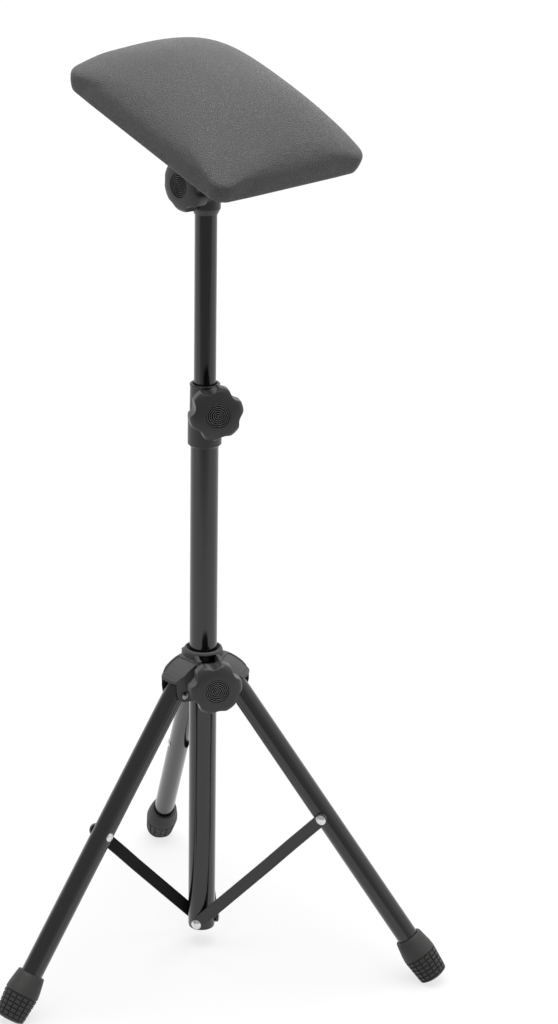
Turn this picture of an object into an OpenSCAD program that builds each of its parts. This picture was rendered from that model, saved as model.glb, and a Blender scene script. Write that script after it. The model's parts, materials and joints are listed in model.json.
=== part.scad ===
// Height-adjustable tattoo arm rest stand: a padded rest on a telescopic mast over a folding tripod.
// Millimetres, +Z up. The column's axis is x = y = 0 and the floor is z = 0.
// The tilt axis lies along X, the pad slopes down towards -Y, and the first leg points to -X.

/* [Column] */
// Outside diameter of the lower tube
column_od = 25.4;       // [24:0.1:27]
// Wall of both telescopic tubes
tube_wall = 1.5;        // [1:0.1:1.8]
// Height of the lower tube's end above the floor
column_bottom = 19.3;   // [16:0.1:24]
// Length of the lower tube
column_length = 510;    // [450:1:560]

/* [Mast] */
// Outside diameter of the sliding tube
mast_od = 20;           // [18:0.1:21]
// Length of the sliding tube
mast_length = 505;      // [450:1:520]
// Height of the tilt axis above the floor at the photographed setting
tilt_axis_z = 743;      // [735:1:790]

/* [Mast collar] */
// Outside diameter of the collar over the column
collar_od = 30.6;       // [29.5:0.1:34]
// Outside diameter of the collar's upper part, round the mast
collar_neck_od = 27.4;  // [26:0.1:29]
// Height of the collar
collar_height = 59;     // [56:1:66]
// How far the collar reaches down over the column
collar_grip = 30;       // [24:1:32]
// Height of the clamp screw above the collar's lower edge
collar_screw_rise = 43.8; // [43.5:0.1:46]
// Diameter of the collar's screw boss
collar_boss_d = 20;     // [18:0.5:22]
// Distance of the boss's end from the mast's axis
collar_boss_reach = 30.4; // [28:0.1:36]

/* [Hub] */
// Outside diameter of the ring round the column
hub_ring_od = 36;       // [33:0.1:38]
// Height of the ring's top above the leg pivots
hub_ring_rise = 35;     // [33:0.5:38]
// Depth of the ring below the leg pivots
hub_ring_drop = 8.7;    // [8:0.1:12]
// Radius of the roof's outer edge over each leg
hub_roof_radius = 43;   // [42:0.5:46]
// Height of the roof's outer edge above the leg pivots
hub_roof_rise = 13.8;   // [13.5:0.1:16]
// Wall of the roof over each leg
hub_roof_wall = 2.6;    // [2:0.1:3]
// Thickness of each ear beside a leg
hub_ear = 3.6;          // [3:0.1:4.5]
// Radius of an ear's rounded end
hub_ear_radius = 6.6;   // [6:0.1:8]
// Height of the clamp screw above the leg pivots
hub_screw_rise = 14.4;  // [13:0.1:16]
// Diameter of the hub's screw boss
hub_boss_d = 21;        // [19:0.5:22]
// Distance of the boss's end from the column's axis
hub_boss_reach = 36;    // [34:0.1:40]

/* [Legs] */
// Outside diameter of each leg tube
leg_od = 20;            // [18:0.1:21]
// Wall of each leg tube
leg_wall = 1.2;         // [0.8:0.1:1.6]
// Angle of the legs from the vertical
leg_spread = 36.6;      // [30:0.1:40]
// Distance of each leg pivot from the column's axis
leg_pivot_r = 33.5;     // [33:0.1:36]
// Distance from a leg pivot to the end of its foot
leg_reach = 328.4;      // [300:0.1:350]
// Distance from a leg pivot to its brace rivet
leg_rivet_s = 144.9;    // [130:0.1:160]
// Tube left above each leg pivot
leg_head = 7.5;         // [6.5:0.1:8]

/* [Braces] */
// Width of each flat brace
brace_width = 11.5;     // [10:0.1:13]
// Thickness of each brace
brace_t = 2.5;          // [2:0.1:3]
// Height of the column rivets above the lower tube's end
brace_low_rise = 5.7;   // [5.4:0.1:8]
// Shank diameter of every rivet and pivot pin
rivet_d = 6;            // [5:0.1:6.4]
// Head diameter of the rivets over the braces
rivet_head_d = 9.6;     // [9:0.1:10.5]
// Height of these rivet heads
rivet_head_h = 2.2;     // [1.6:0.1:2.6]
// Head diameter of the pivot pins and of the rivets' far ends
pin_head_d = 7.8;       // [7.5:0.1:8.6]
// Height of these smaller heads
pin_head_h = 1.6;       // [1.2:0.1:2]

/* [Feet] */
// Length of each rubber foot
foot_length = 44.5;     // [40:0.1:52]
// Diameter of the foot's mouth
foot_mouth_d = 25.2;    // [24:0.1:28]
// Largest diameter of the foot
foot_wide_d = 31.6;     // [30:0.1:33]
// Distance of the widest place from the mouth
foot_wide_s = 19;       // [17:0.1:21]
// Diameter of the foot's lower end
foot_end_d = 27;        // [25:0.1:28]
// Rounding of the foot's lower edge
foot_corner = 5;        // [3:0.1:6]
// Depth of the worn flat that stands on the floor
foot_flat = 0.6;        // [0.4:0.1:1]
// Rubber below the end of the leg tube
foot_sole = 9;          // [7:0.1:12]
// Depth of the tread grooves
foot_groove = 1.1;      // [0.6:0.1:1.4]
// Width of the tread grooves
foot_groove_w = 1.3;    // [0.8:0.1:1.6]
// Number of lengthways tread grooves
foot_groove_n = 16;     // [10:1:18]

/* [Knobs] */
// Diameter of the lobed knob heads
knob_d = 50;            // [46:0.5:52]
// Thickness of the lobed head
knob_head_h = 16;       // [14:0.1:18]
// Length of the neck behind the head
knob_neck_h = 6;        // [5.5:0.1:8]
// Diameter of the neck
knob_neck_d = 19;       // [18:0.1:21]
// Radius of the six notches in the rim
knob_notch_r = 9.2;     // [8:0.1:10]
// Depth of the six notches
knob_notch_depth = 4.3; // [3:0.1:5]
// Diameter of the ringed insert
knob_cap_d = 21.6;      // [19:0.1:23]
// Depth of the recess for the ringed insert
knob_recess = 2.4;      // [2:0.1:3]
// Diameter of the clamp screws and the tilt bolt
screw_d = 8;            // [7:0.1:8.6]
// Angle from the first leg to the direction in which both column knobs point
knob_from_leg = 62;     // [58:0.5:64]

/* [Tilt head] */
// Outside diameter of the socket on the mast
socket_od = 26;         // [24.5:0.1:28]
// Depth of the socket below the tilt axis
socket_drop = 29.6;     // [28:0.1:34]
// Radius of the fork's rounded cheeks
fork_radius = 12.4;     // [12:0.1:13.5]
// Half width of the fork
fork_half = 9.8;        // [9:0.1:11]
// Thickness of the pad bracket's tongue
tongue_t = 4;           // [3:0.1:4.6]
// Distance from the tilt axis to the pad's underside
head_height = 48.1;     // [46:0.1:56]
// Angle of the pad from level at the photographed setting
pad_tilt = 19.4;        // [10:0.1:24]
// Sideways lean of the bracket's plate on its tongue
pad_lean = -2.4;        // [-3:0.1:3]
// Distance of the pad's middle up the slope from the tilt axis
pad_offset = 7.8;       // [4:0.1:12]
// Length and width of the bracket's plate
plate_length = 84;      // [76:1:100]
plate_width = 56;       // [52:1:70]
// Thickness of the bracket's plate
plate_t = 3;            // [2.5:0.1:4]

/* [Pad] */
// Length of the pad down its slope
pad_length = 220;       // [200:1:240]
// Width of the pad along the tilt axis
pad_width = 170;        // [150:1:185]
// Thickness of the pad at its upright edge
pad_edge = 21.9;        // [18:0.1:26]
// Rise of the crown above the edge
pad_crown = 38.8;       // [30:0.1:44]
// Radius of the pad's corners
pad_corner = 15.6;      // [15.2:0.1:26]
// Radius of the rounded upper edge
pad_fillet = 15;        // [10:0.5:15]
// How far the sides are drawn in at the lower edge
pad_draw = 2;           // [1:0.1:3]
// Thickness of the board inside the pad
board_t = 12;           // [10:0.5:13]
// Thickness of the cover where it is wrapped round the board
cover_t = 4;            // [3:0.1:5]

/* [Hidden] */
$fn = 64;
// Colours
BLACK_PAINT = [0.10, 0.10, 0.11];
PLASTIC = [0.20, 0.20, 0.21];
INSERT = [0.27, 0.27, 0.29];
CHROME = [0.80, 0.80, 0.82];
ZINC = [0.62, 0.62, 0.60];
RUBBER = [0.15, 0.15, 0.15];
BRACE_PAINT = [0.30, 0.30, 0.31];
COVER = [0.42, 0.42, 0.43];
WOOD = [0.72, 0.58, 0.40];
CLOTH = [0.25, 0.25, 0.26];

// Clearances: sliding fits, turning fits, pieces that pass each other, and the overrun of cuts
slide_gap = 0.25;
run_gap = 0.05;
pass_gap = 0.3;
over = 1;

legs = 3;
lobes = 6;
first_leg = 180;
knob_azimuth = first_leg + knob_from_leg;
function leg_azimuth(i) = first_leg + i * 360 / legs;

column_r = column_od / 2;
column_bore = column_r - tube_wall;
column_top = column_bottom + column_length;
mast_r = mast_od / 2;
mast_bore = mast_r - tube_wall;
leg_r = leg_od / 2;
rivet_r = rivet_d / 2;
rivet_head_r = rivet_head_d / 2;
pin_head_r = pin_head_d / 2;
screw_r = screw_d / 2;
screw_hole_r = screw_r + slide_gap;

// Nuts: hexagon in the collar, square plate in the hub
nut_af = screw_d * 1.625;
nut_t = screw_d * 0.8;
plate_nut = screw_d * 2.1;
nut_gap = 0.2;

// The legs stand on the flats of their feet, which sets the height of the leg pivots
foot_end_r = foot_end_d / 2;
leg_pivot_z = (leg_reach - foot_corner) * cos(leg_spread)
    + (foot_end_r - foot_corner) * sin(leg_spread) + foot_corner - foot_flat;

// Braces run from the column's lower end to the rivets on the legs
brace_low_z = column_bottom + brace_low_rise;
brace_dx = leg_pivot_r + leg_rivet_s * sin(leg_spread);
brace_dz = leg_pivot_z - leg_rivet_s * cos(leg_spread) - brace_low_z;
brace_length = sqrt(brace_dx * brace_dx + brace_dz * brace_dz);
brace_lean = atan2(brace_dx, brace_dz);
// Each bar is set off between the column's side and the leg's side
brace_inner = column_r + pass_gap;
brace_outer = brace_inner + brace_t;
brace_seat = leg_r + pass_gap;
brace_top = brace_seat + brace_t;
brace_bend_low = brace_length * 0.58;
brace_bend_high = brace_length * 0.76;

collar_bottom = column_top - collar_grip;
collar_top = collar_bottom + collar_height;
collar_screw_z = collar_bottom + collar_screw_rise;
hub_screw_z = leg_pivot_z + hub_screw_rise;
knob_h = knob_neck_h + knob_head_h;

socket_r = socket_od / 2;
socket_bottom = tilt_axis_z - socket_drop;
fork_floor = fork_radius + pass_gap;
socket_roof = 3.2;
mast_top = tilt_axis_z - fork_floor - socket_roof;
mast_bottom = mast_top - mast_length;
tongue_half = tongue_t / 2;
tongue_r = fork_radius - pass_gap;

// ---- Shared shapes

// A tube or rod from height a to height b, with an optional bore
module pipe(r, a, b, bore = 0) {
    translate([0, 0, a]) difference() {
        cylinder(r = r, h = b - a);
        if (bore > 0) translate([0, 0, -over]) cylinder(r = bore, h = b - a + 2 * over);
    }
}

// A rod along +X from a to b
module rod_x(r, a, b) {
    translate([a, 0, 0]) rotate([0, 90, 0]) cylinder(r = r, h = b - a);
}

// A rod along -Y, from the distance a to the distance b
module rod_y(r, a, b) {
    translate([0, -a, 0]) rotate([90, 0, 0]) cylinder(r = r, h = b - a);
}

// A domed head that rises from z = 0
module dome(r, h) {
    ball = (r * r + h * h) / (2 * h);
    steps = 8;
    span = asin(r / ball);
    rotate_extrude() polygon(concat([[0, 0]],
        [for (k = [0 : steps]) let (a = span * (1 - k / steps)) [ball * sin(a), ball * cos(a) - ball + h]]));
}

// Points of an arc of radius r about [x, y], from angle a to angle b
function arc(x, y, r, a, b, steps) =
    [for (k = [0 : steps]) let (t = a + (b - a) * k / steps) [x + r * cos(t), y + r * sin(t)]];

module rounded_rect(length, width, r) {
    x = width / 2 - r;
    y = length / 2 - r;
    polygon(concat(arc(x, y, r, 0, 90, 8), arc(-x, y, r, 90, 180, 8),
        arc(-x, -y, r, 180, 270, 8), arc(x, -y, r, 270, 360, 8)));
}

// The radial frame of one leg: +X away from the column
module at_leg(i) {
    rotate([0, 0, leg_azimuth(i)]) children();
}

// The frame of a leg tube: the pivot at 0, +Z up the tube
module along_leg(i) {
    at_leg(i) translate([leg_pivot_r, 0, leg_pivot_z]) rotate([0, -leg_spread, 0]) children();
}

// The frame of a brace: the column rivet at 0, +Z along the bar
module along_brace(i) {
    at_leg(i) translate([0, 0, brace_low_z]) rotate([0, brace_lean, 0]) children();
}

// The frame of a clamp screw at height z: +X away from the column
module along_screw(z) {
    translate([0, 0, z]) rotate([0, 0, knob_azimuth]) children();
}

// The tongue's frame: the tilt axis at 0, +Z square to the pad's long side, +Y up its slope
module pad_frame() {
    translate([0, 0, tilt_axis_z]) rotate([pad_tilt, 0, 0]) children();
}

// Leans the plate and the pad on the tongue, about the middle of the pad's underside
module leaned() {
    translate([0, pad_offset, head_height]) rotate([0, pad_lean, 0])
        translate([0, -pad_offset, -head_height]) children();
}

// ---- Column

module column_tube() color(BLACK_PAINT) difference() {
    pipe(column_r, column_bottom, column_top, column_bore);
    for (i = [0 : legs - 1])
        at_leg(i) translate([0, 0, brace_low_z]) rod_y(rivet_r, column_bore - over, column_r + over);
}

plug_depth = brace_low_rise + rivet_r + 4;
plug_flange = 1.6;

module column_plug() color(PLASTIC) difference() {
    union() {
        pipe(column_bore, column_bottom, column_bottom + plug_depth);
        pipe(column_r - tube_wall / 3, column_bottom - plug_flange, column_bottom);
    }
    for (i = [0 : legs - 1])
        at_leg(i) translate([0, 0, brace_low_z]) rod_y(rivet_r, rivet_end, column_r + over);
}

// How far in the column rivets reach, kept clear of one another
rivet_end = column_bore * 0.62;

module column_rivet(i) color(CHROME) at_leg(i) translate([0, 0, brace_low_z]) {
    rod_y(rivet_r, rivet_end, brace_outer + run_gap);
    translate([0, -brace_outer - run_gap, 0]) rotate([90, 0, 0]) dome(rivet_head_r, rivet_head_h);
}
module column_rivet_1() column_rivet(0);
module column_rivet_2() column_rivet(1);
module column_rivet_3() column_rivet(2);

// ---- Mast collar with its clamp boss and nut

collar_chamfer = 2.4;
collar_lip = 1.2;

module collar_profile() {
    r = collar_od / 2;
    n = collar_neck_od / 2;
    bore = mast_r + slide_gap;
    step = column_top + collar_chamfer;
    polygon([[column_r, collar_bottom], [r - collar_chamfer, collar_bottom],
        [r, collar_bottom + collar_chamfer], [r, step - (r - n)], [n, step],
        [n - collar_lip / 3, collar_top - 2 * collar_lip], [n, collar_top - 1.5 * collar_lip],
        [n, collar_top - collar_lip / 2], [n - collar_lip / 2, collar_top],
        [bore + collar_lip, collar_top], [bore, collar_top - collar_lip],
        [bore, column_top], [column_r, column_top]]);
}

module mast_collar() color(PLASTIC) difference() {
    union() {
        rotate_extrude() collar_profile();
        difference() {
            along_screw(collar_screw_z) rod_x(collar_boss_d / 2, 0, collar_boss_reach);
            pipe((mast_r + collar_neck_od / 2) / 2, collar_bottom, collar_top);
        }
    }
    along_screw(collar_screw_z) {
        rod_x(screw_hole_r, 0, collar_boss_reach + over);
        translate([collar_boss_reach - nut_t - nut_gap, 0, 0]) rotate([0, 90, 0])
            cylinder(r = (nut_af / 2 + nut_gap) / cos(30), h = nut_t + nut_gap + over, $fn = 6);
    }
}

module collar_nut() color(ZINC) along_screw(collar_screw_z) difference() {
    translate([collar_boss_reach - nut_t - nut_gap, 0, 0]) rotate([0, 90, 0])
        cylinder(r = nut_af / 2 / cos(30), h = nut_t, $fn = 6);
    rod_x(screw_r + run_gap, 0, collar_boss_reach + over);
}

// ---- Hub with a roof and two ears for each leg

hub_ring_r = hub_ring_od / 2;
hub_bore = column_r + slide_gap;
hub_top = leg_pivot_z + hub_ring_rise;
hub_base = leg_pivot_z - hub_ring_drop;
hub_lip = 2.2;
leg_slot = leg_r + 0.4;
wing_half = leg_slot + hub_ear;
wing_base = hub_base + pass_gap;
// Where the roof meets the ring, and the roof's height over any radius
roof_inner_z = hub_top - 7.2;
roof_outer_z = leg_pivot_z + hub_roof_rise;
roof_bulge = 3.2;
roof_steps = 6;
roof_step = 0.8;
roof_border = 2.2;
function roof_z(r) = let (t = (r - hub_ring_r) / (hub_roof_radius - hub_ring_r))
    roof_inner_z + (roof_outer_z - roof_inner_z) * t + 4 * roof_bulge * t * (1 - t);

module hub_ring_profile() {
    polygon([[hub_bore, hub_base], [hub_ring_r, hub_base],
        [hub_ring_r, hub_top - hub_lip], [hub_ring_r - hub_lip * 0.3, hub_top - hub_lip * 0.3],
        [hub_ring_r - hub_lip, hub_top], [hub_bore + hub_lip * 1.1, hub_top],
        [hub_bore + hub_lip * 0.9, hub_top - hub_lip * 0.5],
        [hub_bore, hub_top - 2.2 * hub_lip]]);
}

// The roof as a solid of revolution, from the height z up to its arched skin, lowered by drop
module roof_solid(z, drop, outer) {
    rotate_extrude() polygon(concat([[0, z], [outer, z]],
        [for (k = [0 : roof_steps]) let (r = outer + (hub_ring_r - outer) * k / roof_steps) [r, roof_z(r) - drop]],
        [[0, roof_inner_z - drop]]));
}

// An ear's outline seen from the side, in the radial frame
module ear_outline() {
    union() {
        translate([leg_pivot_r, leg_pivot_z]) circle(r = hub_ear_radius);
        polygon([[0, wing_base], [leg_pivot_r - hub_ear_radius * 1.6, wing_base],
            [leg_pivot_r, leg_pivot_z - hub_ear_radius],
            [leg_pivot_r + hub_ear_radius * cos(20), leg_pivot_z + hub_ear_radius * sin(-20)],
            [hub_roof_radius, roof_outer_z - hub_roof_wall],
            [hub_roof_radius, hub_top], [0, hub_top]]);
    }
}

module hub_wing() {
    corner = wing_half * 0.32;
    difference() {
        intersection() {
            roof_solid(hub_base - hub_ear_radius, 0, hub_roof_radius);
            rotate([90, 0, 0]) translate([0, 0, -wing_half])
                linear_extrude(height = 2 * wing_half) ear_outline();
            translate([0, 0, hub_base - hub_ear_radius]) linear_extrude(height = hub_top) polygon([
                [0, -wing_half], [hub_roof_radius - 2 * corner, -wing_half],
                [hub_roof_radius, -wing_half + corner],
                [hub_roof_radius, wing_half - corner],
                [hub_roof_radius - 2 * corner, wing_half], [0, wing_half]]);
        }
        // Room for the leg tube under the roof
        intersection() {
            roof_solid(hub_base - 2 * hub_ear_radius, hub_roof_wall, hub_roof_radius + over);
            translate([hub_ring_r, -leg_slot, hub_base - 2 * hub_ear_radius])
                cube([hub_roof_radius, 2 * leg_slot, hub_top]);
        }
        // Sunk panel on the roof
        difference() {
            intersection() {
                roof_solid(roof_outer_z - hub_roof_wall, -over, hub_roof_radius - roof_border);
                translate([hub_ring_r + roof_border, -wing_half + roof_border, 0])
                    cube([hub_roof_radius, 2 * (wing_half - roof_border), hub_top]);
            }
            roof_solid(hub_base, roof_step, hub_roof_radius + over);
        }
        translate([leg_pivot_r, 0, leg_pivot_z]) rod_y(rivet_r, -wing_half - over, wing_half + over);
    }
}

boss_wall = 3;
pocket_w = plate_nut + 2 * nut_gap;
pocket_t = nut_t + 2 * nut_gap;
pocket_r = hub_ring_r + 1.6;
boss_block_top = hub_top - 1.2 * hub_lip;
// The window over the nut, from above the nut to below the ring's rim
window_low = hub_screw_z + plate_nut / 2 + 3 * nut_gap;
window_high = hub_top - 1.1 * hub_lip;
window_side_share = 0.94;

module hub_body() color(PLASTIC) difference() {
    union() {
        rotate_extrude() hub_ring_profile();
        for (i = [0 : legs - 1]) at_leg(i) hub_wing();
        along_screw(hub_screw_z) rod_x(hub_boss_d / 2, 0, hub_boss_reach);
        along_screw(0) translate([0, -pocket_w / 2 - boss_wall, hub_screw_z])
            cube([pocket_r + pocket_t + boss_wall, pocket_w + 2 * boss_wall, boss_block_top - hub_screw_z]);
    }
    pipe(hub_bore, hub_base - over, hub_top + over);
    along_screw(hub_screw_z) rod_x(screw_hole_r, 0, hub_boss_reach + over);
    along_screw(0) translate([pocket_r, -pocket_w / 2, hub_screw_z - pocket_w / 2])
        cube([pocket_t, pocket_w, boss_block_top]);
    along_screw(0) translate([0, -pocket_w * window_side_share / 2, window_low])
        cube([pocket_r + pocket_t + boss_wall + over, pocket_w * window_side_share, window_high - window_low]);
}

module hub_nut() color(ZINC) along_screw(hub_screw_z) difference() {
    translate([pocket_r + nut_gap, -plate_nut / 2, -plate_nut / 2]) cube([nut_t, plate_nut, plate_nut]);
    rod_x(screw_r + run_gap, 0, hub_boss_reach + over);
}

module hub_pin(i) color(CHROME) at_leg(i) translate([leg_pivot_r, 0, leg_pivot_z]) {
    rod_y(rivet_r, -wing_half, wing_half);
    translate([0, -wing_half, 0]) rotate([90, 0, 0]) dome(pin_head_r, pin_head_h);
    translate([0, wing_half, 0]) rotate([-90, 0, 0]) dome(pin_head_r, pin_head_h);
}
module hub_pin_1() hub_pin(0);
module hub_pin_2() hub_pin(1);
module hub_pin_3() hub_pin(2);

// ---- Legs

leg_end = -(leg_reach - foot_sole);
leg_bore = leg_r - leg_wall;
cap_flange = 1.2;
cap_depth = leg_head - rivet_r - run_gap - cap_flange;

module leg_tube(i) color(BLACK_PAINT) along_leg(i) difference() {
    pipe(leg_r, leg_end, leg_head, leg_bore);
    rod_y(rivet_r + run_gap, -leg_r - over, leg_r + over);
    translate([0, 0, -leg_rivet_s]) rod_y(rivet_r, -leg_r - over, leg_r + over);
}
module leg_tube_1() leg_tube(0);
module leg_tube_2() leg_tube(1);
module leg_tube_3() leg_tube(2);

module leg_cap(i) color(PLASTIC) along_leg(i) union() {
    pipe(leg_bore, leg_head - cap_depth, leg_head);
    pipe(leg_r - leg_wall / 2, leg_head, leg_head + cap_flange);
}
module leg_cap_1() leg_cap(0);
module leg_cap_2() leg_cap(1);
module leg_cap_3() leg_cap(2);

// The through-rivet of a leg: a domed head on the far side, a flush end under the brace
module leg_rivet(i) color(CHROME) along_leg(i) translate([0, 0, -leg_rivet_s]) {
    rod_y(rivet_r, -leg_r, leg_r);
    translate([0, leg_r, 0]) rotate([-90, 0, 0]) dome(pin_head_r, pin_head_h);
}
module leg_rivet_1() leg_rivet(0);
module leg_rivet_2() leg_rivet(1);
module leg_rivet_3() leg_rivet(2);

// ---- Feet, turned about the leg with ring grooves and lengthways grooves in the tread

foot_rings = 5;
foot_lip = 0.7;

// Radius of the foot's skin below its widest place, at the distance s from the mouth
function foot_r(s) = foot_wide_d / 2
    + (foot_end_r - foot_wide_d / 2) * (s - foot_wide_s) / (foot_length - foot_wide_s);

module foot_profile() {
    mouth = foot_mouth_d / 2;
    pitch = (foot_length - foot_wide_s - foot_corner) / foot_rings;
    polygon(concat([[0, foot_length - over * 0.6]],
        [[foot_end_r - foot_corner * 1.4, foot_length]],
        arc(foot_end_r - foot_corner, foot_length - foot_corner, foot_corner, 75, 0, 5),
        [for (k = [foot_rings - 1 : -1 : 0]) let (s = foot_wide_s + (k + 0.1) * pitch)
            for (p = [[s + foot_groove_w, 0], [s + foot_groove_w * 0.7, foot_groove],
                [s + foot_groove_w * 0.3, foot_groove], [s, 0]]) [foot_r(p[0]) - p[1], p[0]]],
        [[foot_wide_d / 2, foot_wide_s], [mouth + foot_lip, foot_groove_w * 1.5],
            [mouth, foot_groove_w], [mouth, foot_lip / 2], [mouth - foot_lip / 2, 0], [0, 0]]));
}

module foot_shape() {
    tread = foot_length - foot_wide_s;
    // The profile runs down the leg, so it is turned over
    translate([0, 0, -leg_reach + foot_length]) mirror([0, 0, 1]) difference() {
        rotate_extrude() foot_profile();
        translate([0, 0, -over]) cylinder(r = leg_r, h = foot_length - foot_sole + over);
        for (k = [0 : foot_groove_n - 1]) rotate([0, 0, (k + 0.5) * 360 / foot_groove_n])
            translate([foot_end_r - foot_groove, -foot_groove_w / 2, foot_wide_s + tread * 0.04])
                cube([foot_wide_d, foot_groove_w, tread * 0.96 - foot_corner]);
    }
}

module leg_foot(i) color(RUBBER) difference() {
    along_leg(i) foot_shape();
    // The flat that stands on the floor
    translate([-leg_reach, -leg_reach, -leg_reach]) cube([2 * leg_reach, 2 * leg_reach, leg_reach]);
}
module leg_foot_1() leg_foot(0);
module leg_foot_2() leg_foot(1);
module leg_foot_3() leg_foot(2);

// ---- Braces

module brace_outline() {
    r = brace_width / 2;
    difference() {
        polygon(concat(arc(0, brace_length, r, 0, 180, 16), arc(0, 0, r, 180, 360, 16)));
        circle(r = rivet_r + run_gap);
        translate([0, brace_length]) circle(r = rivet_r);
    }
}

// The bar seen from its edge: x along it, y away from the tubes
module brace_side() {
    low = -brace_width;
    high = brace_length + brace_width;
    polygon([[low, brace_inner], [brace_bend_low, brace_inner], [brace_bend_high, brace_seat],
        [high, brace_seat], [high, brace_top], [brace_bend_high, brace_top],
        [brace_bend_low, brace_outer], [low, brace_outer]]);
}

module brace(i) color(BRACE_PAINT) along_brace(i) intersection() {
    near = min(brace_seat, brace_inner) - over;
    far = max(brace_top, brace_outer) + over;
    translate([0, -near, 0]) rotate([90, 0, 0]) linear_extrude(height = far - near) brace_outline();
    translate([-brace_width, 0, 0]) rotate([180, -90, 0])
        linear_extrude(height = 2 * brace_width) brace_side();
}
module brace_1() brace(0);
module brace_2() brace(1);
module brace_3() brace(2);

// The upper pivot of each brace, opened here: it lies beside the leg and does not enter it
module brace_rivet(i) color(CHROME) along_brace(i) translate([0, 0, brace_length]) {
    rod_y(rivet_r, brace_seat, brace_top);
    translate([0, -brace_top, 0]) rotate([90, 0, 0]) dome(rivet_head_r, rivet_head_h);
}
module brace_rivet_1() brace_rivet(0);
module brace_rivet_2() brace_rivet(1);
module brace_rivet_3() brace_rivet(2);

// ---- Mast with its glide, socket and tilt bolt

glide_flange = 22;
glide_stem = 20;

module mast_glide() color(PLASTIC) union() {
    pipe(column_bore - slide_gap, mast_bottom - glide_flange, mast_bottom - run_gap);
    pipe(mast_bore - run_gap, mast_bottom - glide_flange / 2, mast_bottom + glide_stem);
}

module mast_tube() color(BLACK_PAINT) pipe(mast_r, mast_bottom, mast_top, mast_bore);

socket_chamfer = 2.6;
socket_shoulder_z = tilt_axis_z - fork_floor * 0.9;

module tilt_socket() color(PLASTIC) difference() {
    union() {
        rotate_extrude() polygon([[0, socket_bottom], [socket_r - socket_chamfer, socket_bottom],
            [socket_r, socket_bottom + 2 * socket_chamfer], [socket_r, socket_shoulder_z], [0, socket_shoulder_z]]);
        // Fork cheeks on both sides of the tongue
        intersection() {
            translate([0, 0, tilt_axis_z]) union() {
                rod_x(fork_radius, -fork_half, fork_half);
                translate([-fork_half, -fork_radius, -fork_floor - socket_roof])
                    cube([2 * fork_half, 2 * fork_radius, fork_floor + socket_roof]);
            }
            pipe(socket_r * 1.16, socket_bottom, tilt_axis_z + 2 * fork_radius);
        }
    }
    pipe(mast_r, socket_bottom - over, mast_top);
    // Channel for the tongue, open upwards and at both sides for its whole swing
    translate([0, 0, tilt_axis_z]) {
        translate([-tongue_half - pass_gap, -2 * fork_radius, -fork_floor])
            cube([tongue_t + 2 * pass_gap, 4 * fork_radius, fork_floor + 2 * fork_radius]);
        rod_x(screw_r, -fork_half - over, fork_half + over);
    }
}

bolt_head_h = screw_d * 0.5;
bolt_depth = knob_neck_h + knob_head_h * 0.45;

module tilt_bolt() color(ZINC) translate([0, 0, tilt_axis_z]) union() {
    rod_x(screw_r, -fork_half - run_gap - bolt_depth, fork_half);
    translate([fork_half, 0, 0]) rotate([0, 90, 0]) dome(screw_d, bolt_head_h);
}

// ---- Pad bracket, board, backing, cushion

bracket_z = head_height - plate_t;
screw_inset = 9;
wood_screw_r = 2;
wood_head_r = 4;
wood_head_h = 1.8;
wood_screw_l = 8;
plate_corner = 8;

module at_plate_screws() {
    for (sx = [-1, 1]) for (sy = [-1, 1])
        translate([sx * (plate_width / 2 - screw_inset), pad_offset + sy * (plate_length / 2 - screw_inset), bracket_z])
            children();
}

// The tongue and its gussets end inside the plate, which leans on them
web_top = bracket_z + plate_t / 2;

// The tongue seen along the tilt axis: x up the slope, y away from the axis
module tongue_outline() {
    root = plate_length * 0.3;
    difference() {
        union() {
            circle(r = tongue_r);
            polygon([[-tongue_r, 0], [tongue_r, 0], [tongue_r, bracket_z * 0.45],
                [pad_offset + root, bracket_z * 0.92], [pad_offset + root, web_top],
                [pad_offset - root, web_top], [pad_offset - root, bracket_z * 0.92], [-tongue_r, bracket_z * 0.45]]);
        }
        circle(r = screw_r + run_gap);
    }
}

module pad_bracket() color(PLASTIC) pad_frame() difference() {
    union() {
        translate([-tongue_half, 0, 0]) rotate([90, 0, 90]) linear_extrude(height = tongue_t) tongue_outline();
        leaned() translate([0, pad_offset, bracket_z]) linear_extrude(height = plate_t)
            rounded_rect(plate_length, plate_width, plate_corner);
        // Gussets from the tongue out to the plate
        for (sy = [-1, 1]) translate([0, pad_offset + sy * plate_length * 0.2 + tongue_half, 0])
            rotate([90, 0, 0]) linear_extrude(height = tongue_t)
                polygon([[-plate_width * 0.32, web_top], [-tongue_half, bracket_z * 0.7],
                    [tongue_half, bracket_z * 0.7], [plate_width * 0.32, web_top]]);
    }
    leaned() at_plate_screws() translate([0, 0, -over]) cylinder(r = wood_screw_r, h = plate_t + 2 * over);
}

module pad_screws() color(ZINC) pad_frame() leaned() at_plate_screws() union() {
    cylinder(r = wood_screw_r, h = plate_t + wood_screw_l);
    mirror([0, 0, 1]) dome(wood_head_r, wood_head_h);
}

module pad_board() color(WOOD) pad_frame() leaned() difference() {
    translate([0, pad_offset, head_height]) linear_extrude(height = board_t)
        rounded_rect(pad_length - 2 * (cover_t + pad_draw), pad_width - 2 * (cover_t + pad_draw), pad_corner - cover_t);
    at_plate_screws() cylinder(r = wood_screw_r, h = plate_t + wood_screw_l);
}

backing_t = 0.8;
backing_inset = 12;

module pad_backing() color(CLOTH) pad_frame() leaned() difference() {
    translate([0, pad_offset, head_height - backing_t]) linear_extrude(height = backing_t)
        rounded_rect(pad_length - 2 * backing_inset, pad_width - 2 * backing_inset, pad_corner);
    translate([0, pad_offset, 0]) linear_extrude(height = head_height + over)
        rounded_rect(plate_length, plate_width, plate_corner);
}

// The cushion is one loft of rounded rectangles: the recess over the board, the wrapped lower
// edge, the drawn-in side, the rounded upper edge and the crown.
corner_steps = 6;
fillet_steps = 5;
crown_rings = 12;
crown_power_u = 2.78;
crown_power_v = 2.27;

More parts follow.
